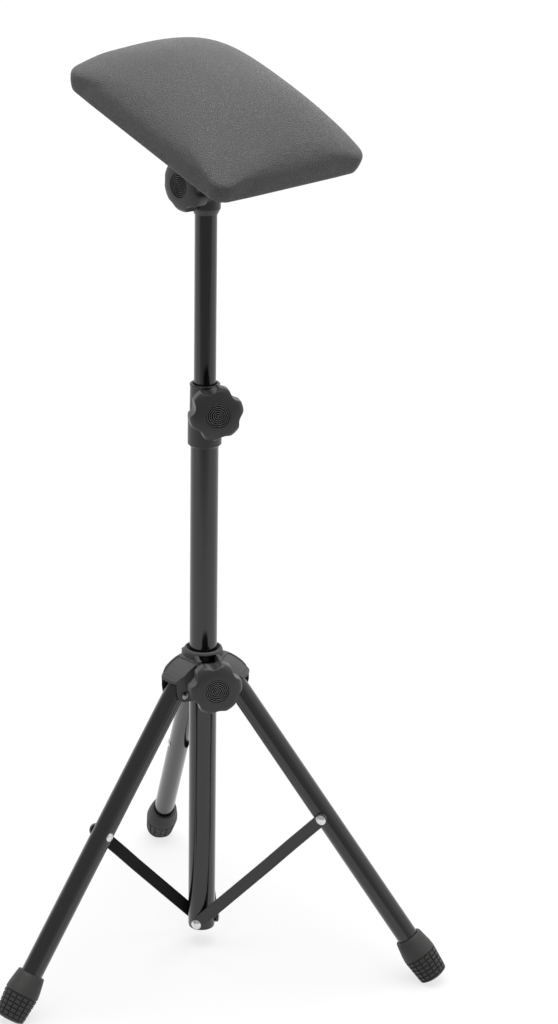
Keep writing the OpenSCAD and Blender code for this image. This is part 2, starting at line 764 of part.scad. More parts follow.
function corner_points(x, y, r, a) =
    [for (k = [0 : corner_steps]) let (t = a + 90 * k / corner_steps) [x + r * cos(t), y + r * sin(t)]];

// A rounded rectangle drawn in by d on every side, with extra points along its straight sides
function side_points(p, q, n) = [for (k = [1 : n]) p + (q - p) * k / (n + 1)];
side_n = 5;
function pad_ring(d) =
    let (hx = pad_width / 2 - d, hy = pad_length / 2 - d, r = max(pad_corner - d, pad_corner * 0.22))
    let (c = [for (q = [[1, 1, 0], [-1, 1, 90], [-1, -1, 180], [1, -1, 270]])
        corner_points(q[0] * (hx - r), q[1] * (hy - r), r, q[2])])
    [for (i = [0 : 3]) each concat(c[i], side_points(c[i][corner_steps], c[(i + 1) % 4][0], side_n))];

// A ring of the crown, shrunk towards the middle by the factor f
function crown_ring(f) = [for (p = pad_ring(pad_fillet)) p * f];

function crown(p) = pad_crown * (1 - pow(min(1, abs(p[1]) / (pad_length / 2)), crown_power_u))
    * (1 - pow(min(1, abs(p[0]) / (pad_width / 2)), crown_power_v));

// One ring of the loft as 3-D points at the height h, raised by the crown where c is 1
function lift(ring, h, c) = [for (p = ring) [p[0], p[1] + pad_offset, head_height + h + c * crown(p)]];

cushion_rings = concat(
    [lift(pad_ring(cover_t + pad_draw), board_t, 0), lift(pad_ring(cover_t + pad_draw), 0, 0)],
    [lift(pad_ring(pad_draw + cover_t * 0.3), -cover_t * 0.12, 0), lift(pad_ring(pad_draw), cover_t * 0.3, 0)],
    [lift(pad_ring(pad_draw * 0.3), pad_edge * 0.3, 0)],
    [for (k = [0 : fillet_steps]) let (a = 90 * k / fillet_steps)
        lift(pad_ring(pad_fillet * (1 - cos(a))), pad_edge - pad_fillet * (1 - sin(a)), 1)],
    [for (k = [1 : crown_rings - 1]) let (f = 1 - k / crown_rings)
        lift(crown_ring(f), pad_edge, 1)]);
ring_n = len(cushion_rings[0]);

module pad_cushion() color(COVER) pad_frame() leaned() {
    rows = len(cushion_rings);
    points = concat([for (r = cushion_rings) each r],
        [[0, pad_offset, head_height + board_t], [0, pad_offset, head_height + pad_edge + pad_crown]]);
    low = rows * ring_n;
    last = (rows - 1) * ring_n;
    faces = concat(
        [for (j = [0 : rows - 2]) for (i = [0 : ring_n - 1]) let (n = (i + 1) % ring_n)
            each [[j * ring_n + i, (j + 1) * ring_n + n, j * ring_n + n],
                [j * ring_n + i, (j + 1) * ring_n + i, (j + 1) * ring_n + n]]],
        [for (i = [0 : ring_n - 1]) [low, i, (i + 1) % ring_n]],
        [for (i = [0 : ring_n - 1]) [low + 1, last + (i + 1) % ring_n, last + i]]);
    polyhedron(points = points, faces = faces, convexity = 4);
}

// ---- Lobed knobs: the neck's back at 0, the face towards +Z

knob_rim = 7.4;
knob_dome = 2.2;
stud_depth = knob_neck_h + knob_head_h * 0.45;

module knob_profile() {
    r = knob_d / 2;
    n = knob_neck_d / 2;
    back = knob_neck_h;
    polygon(concat([[0, 0], [n - over / 2, 0], [n, over / 2], [n, back], [r - knob_rim * 0.7, back]],
        arc(r - knob_rim * 0.3, back + knob_rim * 0.3, knob_rim * 0.3, -90, 0, 3),
        arc(r - knob_rim, knob_h - knob_rim - knob_dome * 0.6, knob_rim, 0, 78, 7),
        [[knob_cap_d / 2 + over, knob_h - knob_dome * 0.12], [knob_cap_d / 2, knob_h - knob_dome * 0.2],
            [0, knob_h - knob_dome * 0.2]]));
}

module knob(turn) {
    notch_c = knob_d / 2 + knob_notch_r - knob_notch_depth;
    difference() {
        rotate_extrude() knob_profile();
        for (k = [0 : lobes - 1]) rotate([0, 0, turn + k * 360 / lobes]) translate([notch_c, 0, -over])
            cylinder(r = knob_notch_r, h = knob_h + 2 * over);
        translate([0, 0, knob_h - knob_recess]) cylinder(r = knob_cap_d / 2, h = knob_recess + over);
        translate([0, 0, -over]) cylinder(r = screw_r, h = stud_depth + over);
    }
}

// The insert: a disc with five raised rings
cap_rings = 5;
cap_base = knob_recess * 0.45;
cap_ridge = knob_recess * 0.33;

module knob_cap() {
    r = knob_cap_d / 2 - run_gap;
    pitch = r / (cap_rings + 0.5);
    translate([0, 0, knob_h - knob_recess]) rotate_extrude() polygon(concat(
        [[0, 0], [r, 0], [r, cap_base]],
        [for (k = [cap_rings : -1 : 1]) let (m = k * pitch)
            each [[m + pitch * 0.28, cap_base], [m + pitch * 0.14, cap_base + cap_ridge],
                [m - pitch * 0.14, cap_base + cap_ridge], [m - pitch * 0.28, cap_base]]],
        [[0, cap_base]]));
}

// Turns the knob's frame so that its face looks away from the column, at the distance d
module knob_at(z, d) {
    along_screw(z) translate([d, 0, 0]) rotate([90, 0, 90]) children();
}

collar_knob_d = collar_boss_reach + pass_gap;
hub_knob_d = hub_boss_reach + pass_gap;
collar_knob_turn = 45;
hub_knob_turn = 36;
tilt_knob_turn = -2;

module tilt_knob_frame() {
    translate([-fork_half - pass_gap, 0, tilt_axis_z]) rotate([90, 0, -90]) children();
}

module tilt_knob() color(PLASTIC) difference() {
    tilt_knob_frame() knob(tilt_knob_turn);
    translate([0, 0, tilt_axis_z]) rod_x(screw_r + run_gap, -fork_half - bolt_depth - pass_gap, 0);
}
module tilt_knob_cap() color(INSERT) tilt_knob_frame() knob_cap();

module mast_knob() color(PLASTIC) knob_at(collar_screw_z, collar_knob_d) knob(collar_knob_turn);
module mast_knob_cap() color(INSERT) knob_at(collar_screw_z, collar_knob_d) knob_cap();
module mast_knob_stud() color(ZINC)
    along_screw(collar_screw_z) rod_x(screw_r, mast_r + pass_gap, collar_knob_d + stud_depth);

module hub_knob() color(PLASTIC) knob_at(hub_screw_z, hub_knob_d) knob(hub_knob_turn);
module hub_knob_cap() color(INSERT) knob_at(hub_screw_z, hub_knob_d) knob_cap();
module hub_knob_stud() color(ZINC)
    along_screw(hub_screw_z) rod_x(screw_r, column_r + pass_gap, hub_knob_d + stud_depth);

column_tube();
column_plug();
column_rivet_1();
column_rivet_2();
column_rivet_3();
mast_collar();
collar_nut();
hub_body();
hub_nut();
hub_pin_1();
hub_pin_2();
hub_pin_3();
leg_tube_1();
leg_tube_2();
leg_tube_3();
leg_cap_1();
leg_cap_2();
leg_cap_3();
leg_rivet_1();
leg_rivet_2();
leg_rivet_3();
leg_foot_1();
leg_foot_2();
leg_foot_3();
brace_1();
brace_2();
brace_3();
brace_rivet_1();
brace_rivet_2();
brace_rivet_3();
mast_glide();
mast_tube();
tilt_socket();
tilt_bolt();
pad_bracket();
pad_screws();
pad_board();
pad_backing();
pad_cushion();
tilt_knob();
tilt_knob_cap();
mast_knob();
mast_knob_stud();
mast_knob_cap();
hub_knob();
hub_knob_stud();
hub_knob_cap();
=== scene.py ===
"""Dressed model of a height-adjustable padded arm rest stand.

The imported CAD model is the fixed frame. Sizes here are in millimetres in that frame: +Z runs up
the column, the tilt axis lies along X and the pad slopes down towards -Y. Meshes are made in
metres. Every visible piece rides on the CAD body that carries it.
"""

import json
import logging
import math
from collections.abc import Callable, Sequence
from dataclasses import dataclass, field, replace
from enum import Enum

import bmesh
import bpy
from mathutils import Euler, Matrix, Vector, noise

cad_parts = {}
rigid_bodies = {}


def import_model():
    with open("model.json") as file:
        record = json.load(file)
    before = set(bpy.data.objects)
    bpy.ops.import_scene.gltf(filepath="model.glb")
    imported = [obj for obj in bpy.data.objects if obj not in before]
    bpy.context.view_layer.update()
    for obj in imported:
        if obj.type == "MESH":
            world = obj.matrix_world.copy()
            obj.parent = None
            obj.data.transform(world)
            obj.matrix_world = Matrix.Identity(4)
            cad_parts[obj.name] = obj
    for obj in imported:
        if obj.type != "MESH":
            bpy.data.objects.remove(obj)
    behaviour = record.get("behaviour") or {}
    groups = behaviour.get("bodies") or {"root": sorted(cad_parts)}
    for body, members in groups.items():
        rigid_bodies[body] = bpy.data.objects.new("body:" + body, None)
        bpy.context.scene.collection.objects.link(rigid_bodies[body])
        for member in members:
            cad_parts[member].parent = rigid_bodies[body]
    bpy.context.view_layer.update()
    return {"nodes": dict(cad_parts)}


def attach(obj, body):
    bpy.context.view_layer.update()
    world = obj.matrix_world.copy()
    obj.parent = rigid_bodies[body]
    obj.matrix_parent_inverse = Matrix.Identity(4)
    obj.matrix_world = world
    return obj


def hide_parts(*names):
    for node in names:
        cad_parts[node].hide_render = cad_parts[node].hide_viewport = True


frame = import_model()

log = logging.getLogger("arm_rest")

MM = 0.001
IMAGE_WIDTH = 558
IMAGE_HEIGHT = 1024
SMOOTH_ANGLE = math.radians(32)

Profile = list[tuple[float, float]]
Corner = tuple[float, float, float]
Material = bpy.types.Material
Socket = bpy.types.NodeSocket
Feed = Socket | float | str | Sequence[float]

# Signs of X and Y in the quarters round Z, from the +X +Y one
QUARTERS = ((1, 1), (-1, 1), (-1, -1), (1, -1))


class Side(Enum):
    """The three legs, by the direction in which each one stands, in degrees about the column."""

    LEFT = 180
    RIGHT = 300
    REAR = 60

    @property
    def number(self) -> int:
        """The number that the leg's nodes carry."""
        return list(Side).index(self) + 1


class Spin(Enum):
    """Ways in which a rounded outline can close on itself."""

    OPEN = "open"
    LOOP = "loop"


def srgb(level: int) -> float:
    """Turns an eight-bit display level into the linear value that shaders take.

    Args:
        level: Display level from 0 to 255.

    Returns:
        The linear value from 0 to 1.
    """
    share = level / 255
    return share / 12.92 if share <= 0.04045 else ((share + 0.055) / 1.055) ** 2.4


def grey(level: int, warm: float = 0.0) -> tuple[float, float, float, float]:
    """A neutral colour with an optional warm or cool lean.

    Args:
        level: Display level from 0 to 255.
        warm: Share by which red rises and blue falls.

    Returns:
        A linear RGBA colour.
    """
    value = srgb(level)
    return (value * (1 + warm), value, value * (1 - warm), 1.0)


# ---- Places


def turned(angle: float, axis: str) -> Matrix:
    """A rotation matrix.

    Args:
        angle: Angle in degrees.
        axis: X, Y or Z.

    Returns:
        The 4x4 matrix.
    """
    return Matrix.Rotation(math.radians(angle), 4, axis)


def moved(x: float, y: float, z: float) -> Matrix:
    """A translation matrix in millimetres.

    Args:
        x: Shift along X.
        y: Shift along Y.
        z: Shift along Z.

    Returns:
        The 4x4 matrix.
    """
    return Matrix.Translation((x, y, z))


@dataclass(frozen=True)
class Layout:
    """Places that several sub-assemblies share, as the CAD source gives them."""

    leg_pivot_r: float = 33.5
    leg_pivot_z: float = 269.0991
    leg_spread: float = 36.6
    leg_reach: float = 328.4
    leg_rivet_s: float = 144.9
    brace_low_z: float = 25.0
    brace_lean: float = 43.1781
    brace_length: float = 175.2133
    tilt_z: float = 743.0
    pad_tilt: float = 19.4
    pad_lean: float = -2.4
    pad_offset: float = 7.8
    pad_underside: float = 48.1
    screw_azimuth: float = 242.0
    collar_screw_z: float = 543.1
    hub_screw_z: float = 283.4991

    def leg(self, side: Side) -> Matrix:
        """The frame of a leg tube: its pivot at 0 and +Z up the tube."""
        pivot = self.radial(side, self.leg_pivot_r, self.leg_pivot_z)
        return pivot @ turned(-self.leg_spread, "Y")

    def brace(self, side: Side) -> Matrix:
        """The frame of a brace: its column rivet at 0 and +Z along the bar."""
        return self.radial(side, 0, self.brace_low_z) @ turned(self.brace_lean, "Y")

    def radial(self, side: Side, r: float, z: float) -> Matrix:
        """A place at the radius r and height z beside a leg, +X away from the column."""
        return turned(side.value, "Z") @ moved(r, 0, z)

    def screw(self, z: float, distance: float) -> Matrix:
        """The frame of a column knob: its back at 0 and its face towards +Z."""
        out = moved(0, 0, z) @ turned(self.screw_azimuth, "Z") @ moved(distance, 0, 0)
        return out @ turned(90, "Z") @ turned(90, "X")

    def tilt_knob(self, distance: float) -> Matrix:
        """The frame of the tilt knob: its back at 0 and its face towards +Z."""
        return moved(-distance, 0, self.tilt_z) @ turned(-90, "Z") @ turned(90, "X")

    def pad(self) -> Matrix:
        """The pad's frame: the middle of its underside at 0, +Z square to it, +Y up its slope."""
        out = moved(0, 0, self.tilt_z) @ turned(self.pad_tilt, "X")
        return out @ moved(0, self.pad_offset, self.pad_underside) @ turned(self.pad_lean, "Y")


LAYOUT = Layout()


# ---- Meshes


def filleted(corners: Sequence[Corner], spin: Spin = Spin.OPEN, steps: int = 4) -> Profile:
    """Rounds the corners of an outline.

    Args:
        corners: Each corner as (x, y, rounding radius).
        spin: Whether the outline is open or closes on itself.
        steps: Segments in each rounded corner.

    Returns:
        The outline's points.
    """
    out: Profile = []
    last = len(corners) - 1
    for i, (x, y, radius) in enumerate(corners):
        ends = spin is Spin.OPEN and i in (0, last)
        if radius <= 0 or ends:
            out.append((x, y))
            continue
        here = Vector((x, y))
        before = Vector(corners[i - 1][:2]) - here
        after = Vector(corners[(i + 1) % len(corners)][:2]) - here
        half = before.angle(after) / 2
        cut = min(radius / math.tan(half), 0.48 * before.length, 0.48 * after.length)
        reach = cut / math.cos(half)
        middle = here + (before.normalized() + after.normalized()).normalized() * reach
        first = here + before.normalized() * cut - middle
        final = here + after.normalized() * cut - middle
        start = math.atan2(first.y, first.x)
        sweep = (math.atan2(final.y, final.x) - start + math.pi) % (2 * math.pi) - math.pi
        for k in range(steps + 1):
            angle = start + sweep * k / steps
            size = first.length
            out.append((middle.x + size * math.cos(angle), middle.y + size * math.sin(angle)))
    return out


@dataclass
class Shell:
    """Points and faces of a piece in millimetres, made of one or more closed shells."""

    points: list[Vector] = field(default_factory=list)
    faces: list[tuple[int, ...]] = field(default_factory=list)

    def skin(self, rings: Sequence[Sequence[Vector]], place: Matrix, spin: Spin) -> None:
        """Joins rings of points, each closed on itself, into one closed shell.

        Args:
            rings: Rings with equal numbers of points. A ring of one point is a pole.
            place: Where the shell goes.
            spin: LOOP joins the last ring to the first, OPEN closes both ends with a face.
        """
        starts = []
        for ring in rings:
            starts.append(len(self.points))
            self.points.extend(place @ p for p in ring)
        pairs = list(zip(range(len(rings) - 1), range(1, len(rings))))
        if spin is Spin.LOOP:
            pairs.append((len(rings) - 1, 0))
        for a, b in pairs:
            self._band(starts[a], len(rings[a]), starts[b], len(rings[b]))
        if spin is Spin.OPEN:
            for k in (0, -1):
                if len(rings[k]) > 1:
                    self.faces.append(tuple(range(starts[k], starts[k] + len(rings[k]))))

    def _band(self, a: int, size_a: int, b: int, size_b: int) -> None:
        """Joins two neighbouring rings, either of which may be a pole.

        Args:
            a: First point of one ring.
            size_a: Number of its points.
            b: First point of the other ring.
            size_b: Number of its points.
        """
        count = max(size_a, size_b)
        for i in range(count):
            n = (i + 1) % count
            if size_a == 1:
                self.faces.append((a, b + i, b + n))
            elif size_b == 1:
                self.faces.append((a + i, b, a + n))
            else:
                self.faces.append((a + i, b + i, b + n, a + n))

    def lathe(self, profile: Profile, place: Matrix, spin: Spin, segments: int = 96) -> None:
        """Turns a profile of (radius, height) points about Z.

        Args:
            profile: The profile's points. A radius of 0 makes a pole.
            place: Where the shell goes.
            spin: LOOP for a tube's closed profile, OPEN for a solid one.
            segments: Number of segments round the axis.
        """
        rings = []
        for r, z in profile:
            if r < 1e-6:
                rings.append([Vector((0, 0, z))])
                continue
            turn = [2 * math.pi * i / segments for i in range(segments)]
            rings.append([Vector((r * math.cos(t), r * math.sin(t), z)) for t in turn])
        self.skin(rings, place, spin)

    def mesh(self, name: str) -> bpy.types.Mesh:
        """Makes the mesh in metres, with its faces pointing outwards.

        Args:
            name: The mesh's name.

        Returns:
            The mesh, smooth apart from its sharp corners.
        """
        mesh = bpy.data.meshes.new(name)
        mesh.from_pydata([p * MM for p in self.points], [], self.faces)
        work = bmesh.new()
        work.from_mesh(mesh)
        bmesh.ops.remove_doubles(work, verts=work.verts, dist=1e-7)
        bmesh.ops.recalc_face_normals(work, faces=work.faces)
        work.to_mesh(mesh)
        work.free()
        smooth(mesh)
        return mesh


def smooth(mesh: bpy.types.Mesh, angle: float = SMOOTH_ANGLE) -> None:
    """Shades a mesh smooth up to an angle between its faces.

    Args:
        mesh: The mesh to shade.
        angle: Largest smooth angle in radians.
    """
    mesh.polygons.foreach_set("use_smooth", [True] * len(mesh.polygons))
    mesh.set_sharp_from_angle(angle=angle)
    mesh.update()


def evaluated(thing: bpy.types.Object) -> bpy.types.Mesh:
    """The plain mesh that an object's modifiers make, with the modifiers removed.

    Args:
        thing: The object. It keeps the new mesh.

    Returns:
        The new mesh.
    """
    graph = bpy.context.evaluated_depsgraph_get()
    graph.update()
    mesh = bpy.data.meshes.new_from_object(thing.evaluated_get(graph))
    thing.modifiers.clear()
    thing.data = mesh
    return mesh


def linked(name: str, mesh: bpy.types.Mesh) -> bpy.types.Object:
    """Makes an object of a mesh in the scene.

    Args:
        name: The object's name.
        mesh: Its mesh.

    Returns:
        The object, at the origin.
    """
    thing = bpy.data.objects.new(name, mesh)
    bpy.context.scene.collection.objects.link(thing)
    return thing


def weighted(thing: bpy.types.Object) -> None:
    """Weights an object's normals by face area, so that flat faces beside fillets stay flat.

    Args:
        thing: The object to finish.
    """
    modifier = thing.modifiers.new("normals", "WEIGHTED_NORMAL")
    modifier.keep_sharp = True
    modifier.weight = 60
    evaluated(thing)


def set_in(mesh: bpy.types.Mesh, place: Matrix) -> None:
    """Moves a mesh in metres from its own frame to a place given in millimetres."""
    mesh.transform(Matrix.Translation(place.translation * MM) @ place.to_3x3().to_4x4())


# ---- Node trees


class Easing(Enum):
    """Ways in which a mapped value goes from one end of its range to the other."""

    STRAIGHT = "LINEAR"
    SOFT = "SMOOTHSTEP"


class NodeBoard:
    """The nodes of one tree, added and joined one by one."""

    def __init__(self, tree: bpy.types.NodeTree) -> None:
        """Starts on a tree with nothing in it.

        Args:
            tree: The tree, which is cleared.
        """
        self.tree = tree
        self.tree.nodes.clear()

    def add(
        self, kind: str, feeds: dict[str, Feed] | None = None, **values: object
    ) -> bpy.types.Node:
        """Adds a node.

        Args:
            kind: The node's type.
            feeds: Sockets or values for its inputs, by the inputs' names.
            values: Settings of the node, by attribute name.

        Returns:
            The node.
        """
        made = self.tree.nodes.new(kind)
        for key, value in values.items():
            setattr(made, key, value)
        for key, source in (feeds or {}).items():
            self.wire(source, made.inputs[key])
        return made

    def wire(self, source: Feed, target: Socket) -> None:
        """Links a socket to an input, or sets the input to a value.

        Args:
            source: An output socket or a value.
            target: The input socket.
        """
        if isinstance(source, Socket):
            self.tree.links.new(source, target)
        else:
            target.default_value = source

    def math(self, operation: str, *sources: Socket | float) -> Socket:
        """Adds a maths node.

        Args:
            operation: Its operation, such as MULTIPLY.
            sources: Its operands, in order.

        Returns:
            The result.
        """
        made = self.add("ShaderNodeMath", operation=operation)
        for source, target in zip(sources, made.inputs):
            self.wire(source, target)
        return made.outputs[0]

    def dot(self, where: Socket, way: tuple[float, float, float]) -> Socket:
        """How far a place lies along a direction.

        Args:
            where: The place.
            way: The direction.

        Returns:
            The distance.
        """
        made = self.add("ShaderNodeVectorMath", operation="DOT_PRODUCT")
        self.wire(where, made.inputs[0])
        self.wire(way, made.inputs[1])
        return made.outputs["Value"]

    def span(
        self,
        value: Socket,
        low: float,
        high: float,
        to_low: float,
        to_high: float,
        easing: Easing = Easing.STRAIGHT,
    ) -> Socket:
        """Maps a value from one range to another, clamped.

        Args:
            value: The value.
            low: Low end of its range.
            high: High end of its range.
            to_low: What the low end becomes.
            to_high: What the high end becomes.
            easing: How it goes from one end to the other.

        Returns:
            The mapped value.
        """
        names = ("Value", "From Min", "From Max", "To Min", "To Max")
        feeds = dict(zip(names, (value, low, high, to_low, to_high)))
        settings = {"clamp": True, "interpolation_type": easing.value}
        return self.add("ShaderNodeMapRange", feeds, **settings).outputs[0]


class NodeTree(NodeBoard):
    """A Geometry Nodes tree with named inputs."""

    def __init__(self, name: str) -> None:
        """Starts an empty tree.

        Args:
            name: The tree's name.
        """
        super().__init__(bpy.data.node_groups.new(name, "GeometryNodeTree"))
        self.tree.interface.new_socket(
            "Geometry", in_out="OUTPUT", socket_type="NodeSocketGeometry"
        )
        self.source = self.add("NodeGroupInput")
        self.ids: dict[str, str] = {}

    def inputs(self, kind: str, *names: str) -> list[Socket]:
        """Adds named inputs of one kind.

        Args:
            kind: The part of the sockets' type after NodeSocket.
            names: The inputs' names.

        Returns:
            The sockets inside the tree.
        """
        out = []
        for name in names:
            item = self.tree.interface.new_socket(
                name, in_out="INPUT", socket_type="NodeSocket" + kind
            )
            self.ids[name] = item.identifier
            out.append(next(s for s in self.source.outputs if s.identifier == item.identifier))
        return out

    def vector(self, x: Socket | float, y: Socket | float, z: Socket | float) -> Socket:
        """Joins three numbers into a vector."""
        return self.add("ShaderNodeCombineXYZ", {"X": x, "Y": y, "Z": z}).outputs[0]

    def axes(self, source: Socket) -> list[Socket]:
        """Splits a vector into its three numbers."""
        return list(self.add("ShaderNodeSeparateXYZ", {"Vector": source}).outputs)

    def model(self, thing: Socket) -> Socket:
        """The geometry of an object input, in the object's own frame."""
        node = self.add("GeometryNodeObjectInfo", {"Object": thing}, transform_space="ORIGINAL")
        return node.outputs["Geometry"]

    def copies(self, points: Socket, model: Socket, **more: Socket) -> Socket:
        """Sets a copy of a model on each point.

        Args:
            points: The points.
            model: The model's geometry.
            more: The Rotation or Scale of each copy.

        Returns:
            The copies.
        """
        feeds = {"Points": points, "Instance": model, **more}
        return self.add("GeometryNodeInstanceOnPoints", feeds).outputs[0]

    def realized(self, geometry: Socket) -> Socket:
        """Turns copies into plain geometry."""
        return self.add("GeometryNodeRealizeInstances", {"Geometry": geometry}).outputs[0]

    def raised(self, geometry: Socket, height: Socket) -> Socket:
        """Moves geometry along Z."""
        feeds = {"Geometry": geometry, "Translation": self.vector(0.0, 0.0, height)}
        return self.add("GeometryNodeTransform", feeds).outputs[0]

    def reshaped(self, geometry: Socket, position: Socket) -> Socket:
        """Gives each point of a geometry a new position."""
        feeds = {"Geometry": geometry, "Position": position}
        return self.add("GeometryNodeSetPosition", feeds).outputs[0]

    def finish(self, geometry: Socket, finish: Socket) -> None:
        """Ends the tree in Realize Instances and Set Material.

        Args:
            geometry: The geometry so far.
            finish: The material input.
        """
        feeds = {"Geometry": self.realized(geometry), "Material": finish}
        dress = self.add("GeometryNodeSetMaterial", feeds)
        self.wire(dress.outputs[0], self.add("NodeGroupOutput").inputs[0])

    def grow(self, name: str, start: bpy.types.Mesh, values: dict[str, object]) -> bpy.types.Object:
        """Runs the tree on an object and keeps the result as its plain mesh.

        Args:
            name: The object's name.
            start: The mesh that the tree starts from.
            values: Values of the named inputs.

        Returns:
            The object with its plain mesh.
        """
        thing = linked(name, start)
        modifier = thing.modifiers.new("tree", "NODES")
        modifier.node_group = self.tree
        for key, value in values.items():
            modifier[self.ids[key]] = value
        evaluated(thing)
        return thing


def fastener_tree() -> NodeTree:
    """A tree that sets a fastener on each anchor point, turned as the anchor says.

    Returns:
        The tree, with the inputs Anchors, Fastener and Finish.
    """
    tree = NodeTree("place_fasteners")
    (anchors,) = tree.inputs("Geometry", "Anchors")
    (fastener,) = tree.inputs("Object", "Fastener")
    (finish,) = tree.inputs("Material", "Finish")
    turn = tree.add("GeometryNodeInputNamedAttribute", {"Name": "turn"}, data_type="FLOAT_VECTOR")
    spin = tree.add("FunctionNodeEulerToRotation", {"Euler": turn.outputs["Attribute"]})
    copies = tree.copies(anchors, tree.model(fastener), Rotation=spin.outputs[0])
    tree.finish(copies, finish)
    return tree


def ring_tree(sides: int = 96, ridge_sides: int = 10, first: float = 0.45) -> NodeTree:
    """A tree for the insert of a knob: a disc with evenly spaced raised rings.

    Args:
        sides: Number of sides of each ring and of the disc.
        ridge_sides: Number of sides of a ring's section.
        first: Radius of the innermost ring, as a share of the pitch.

    Returns:
        The tree, with the inputs Rings, Pitch, Ridge, Disc Radius, Disc Depth, Sink, Top and
        Finish. The disc's rim and faces carry the mark hollow, which the insert's finish
        paints almost black as painted shade between the rings.
    """
    tree = NodeTree("ringed_insert")
    (rings,) = tree.inputs("Int", "Rings")
    pitch, ridge, radius, depth, sink, top = tree.inputs(
        "Float", "Pitch", "Ridge", "Disc Radius", "Disc Depth", "Sink", "Top"
    )
    (finish,) = tree.inputs("Material", "Finish")
    points = tree.add("GeometryNodePoints", {"Count": rings})
    circle = tree.add("GeometryNodeCurvePrimitiveCircle", {"Resolution": sides, "Radius": 1.0})
    index = tree.add("GeometryNodeInputIndex").outputs[0]
    size = tree.math("MULTIPLY", tree.math("ADD", index, first), pitch)
    copies = tree.copies(
        points.outputs[0], circle.outputs[0], Scale=tree.vector(size, size, 1.0)
    )
    section = tree.add(
        "GeometryNodeCurvePrimitiveCircle", {"Resolution": ridge_sides, "Radius": ridge}
    )
    feeds = {"Curve": tree.realized(copies), "Profile Curve": section.outputs[0]}
    sweep = tree.add("GeometryNodeCurveToMesh", feeds)
    feeds = {"Vertices": sides, "Radius": radius, "Depth": depth}
    disc = tree.add("GeometryNodeMeshCylinder", feeds, fill_type="NGON")
    # Painted shade: the disc under the rings is marked hollow, which the insert's finish paints
    # almost black
    feeds = {"Geometry": disc.outputs["Mesh"], "Name": "hollow"}
    settings = {"data_type": "FLOAT", "domain": "POINT"}
    mark = tree.add("GeometryNodeStoreNamedAttribute", feeds, **settings)
    tree.wire(1.0, next(s for s in mark.inputs if s.name == "Value" and s.enabled))
    drop = tree.math("ADD", tree.math("MULTIPLY", depth, -0.5), tree.math("MULTIPLY", ridge, sink))
    both = tree.add("GeometryNodeJoinGeometry")
    for part in (sweep.outputs[0], tree.raised(mark.outputs[0], drop)):
        tree.wire(part, both.inputs[0])
    tree.finish(tree.raised(both.outputs[0], top), finish)
    return tree


def tread_tree(cuts: tuple[int, int, int] = (7, 4, 3), draw: float = 0.09) -> NodeTree:
    """A tree for the tread of a foot: rows of blocks wrapped round a cone.

    Args:
        cuts: Points of a block round the foot, down it and through it.
        draw: Share by which a block's top is smaller than its root.

    Returns:
        The tree, with the inputs Rows, Columns, Start, Pitch, Groove, Relief, Wide Radius, Slope
        and Finish. Distances run down the foot from its mouth.
    """
    tree = NodeTree("foot_tread")
    rows, columns = tree.inputs("Int", "Rows", "Columns")
    start, pitch, groove, relief, wide, slope = tree.inputs(
        "Float", "Start", "Pitch", "Groove", "Relief", "Wide Radius", "Slope"
    )
    (finish,) = tree.inputs("Material", "Finish")
    index = tree.add("GeometryNodeInputIndex").outputs[0]
    row = tree.math("FLOOR", tree.math("DIVIDE", index, columns))
    column = tree.math("SUBTRACT", index, tree.math("MULTIPLY", row, columns))
    step = tree.math("DIVIDE", 2 * math.pi, columns)
    angle = tree.math("MULTIPLY", column, step)
    along = tree.math("ADD", start, tree.math("MULTIPLY", tree.math("ADD", row, 0.5), pitch))
    count = tree.math("MULTIPLY", rows, columns)
    spots = {"Count": count, "Position": tree.vector(angle, along, 0.0)}
    points = tree.add("GeometryNodePoints", spots)
    width = tree.math("SUBTRACT", step, tree.math("DIVIDE", groove, wide))
    size = tree.vector(width, tree.math("SUBTRACT", pitch, groove), relief)
    feeds = {"Size": size, **dict(zip(("Vertices X", "Vertices Y", "Vertices Z"), cuts))}
    block = tree.add("GeometryNodeMeshCube", feeds)
    x, y, z = tree.axes(tree.add("GeometryNodeInputPosition").outputs[0])
    share = tree.math("ADD", tree.math("DIVIDE", z, relief), 0.5)
    narrow = tree.math("SUBTRACT", 1.0, tree.math("MULTIPLY", tree.math("POWER", share, 3.0), draw))
    drawn = tree.vector(tree.math("MULTIPLY", x, narrow), tree.math("MULTIPLY", y, narrow), z)
    taper = tree.reshaped(block.outputs["Mesh"], drawn)
    real = tree.realized(tree.copies(points.outputs[0], taper))
    turn, down, out = tree.axes(tree.add("GeometryNodeInputPosition").outputs[0])
    fall = tree.math("MULTIPLY", tree.math("SUBTRACT", down, start), slope)
    height = tree.math("SUBTRACT", out, tree.math("MULTIPLY", relief, 0.5))
    radius = tree.math("ADD", tree.math("ADD", wide, fall), height)
    wrapped = tree.vector(
        tree.math("MULTIPLY", radius, tree.math("COSINE", turn)),
        tree.math("MULTIPLY", radius, tree.math("SINE", turn)),
        tree.math("MULTIPLY", down, -1.0),
    )
    # Wrapping mirrors the blocks, so their faces are turned back
    flip = tree.add("GeometryNodeFlipFaces", {"Mesh": tree.reshaped(real, wrapped)})
    tree.finish(flip.outputs[0], finish)
    return tree


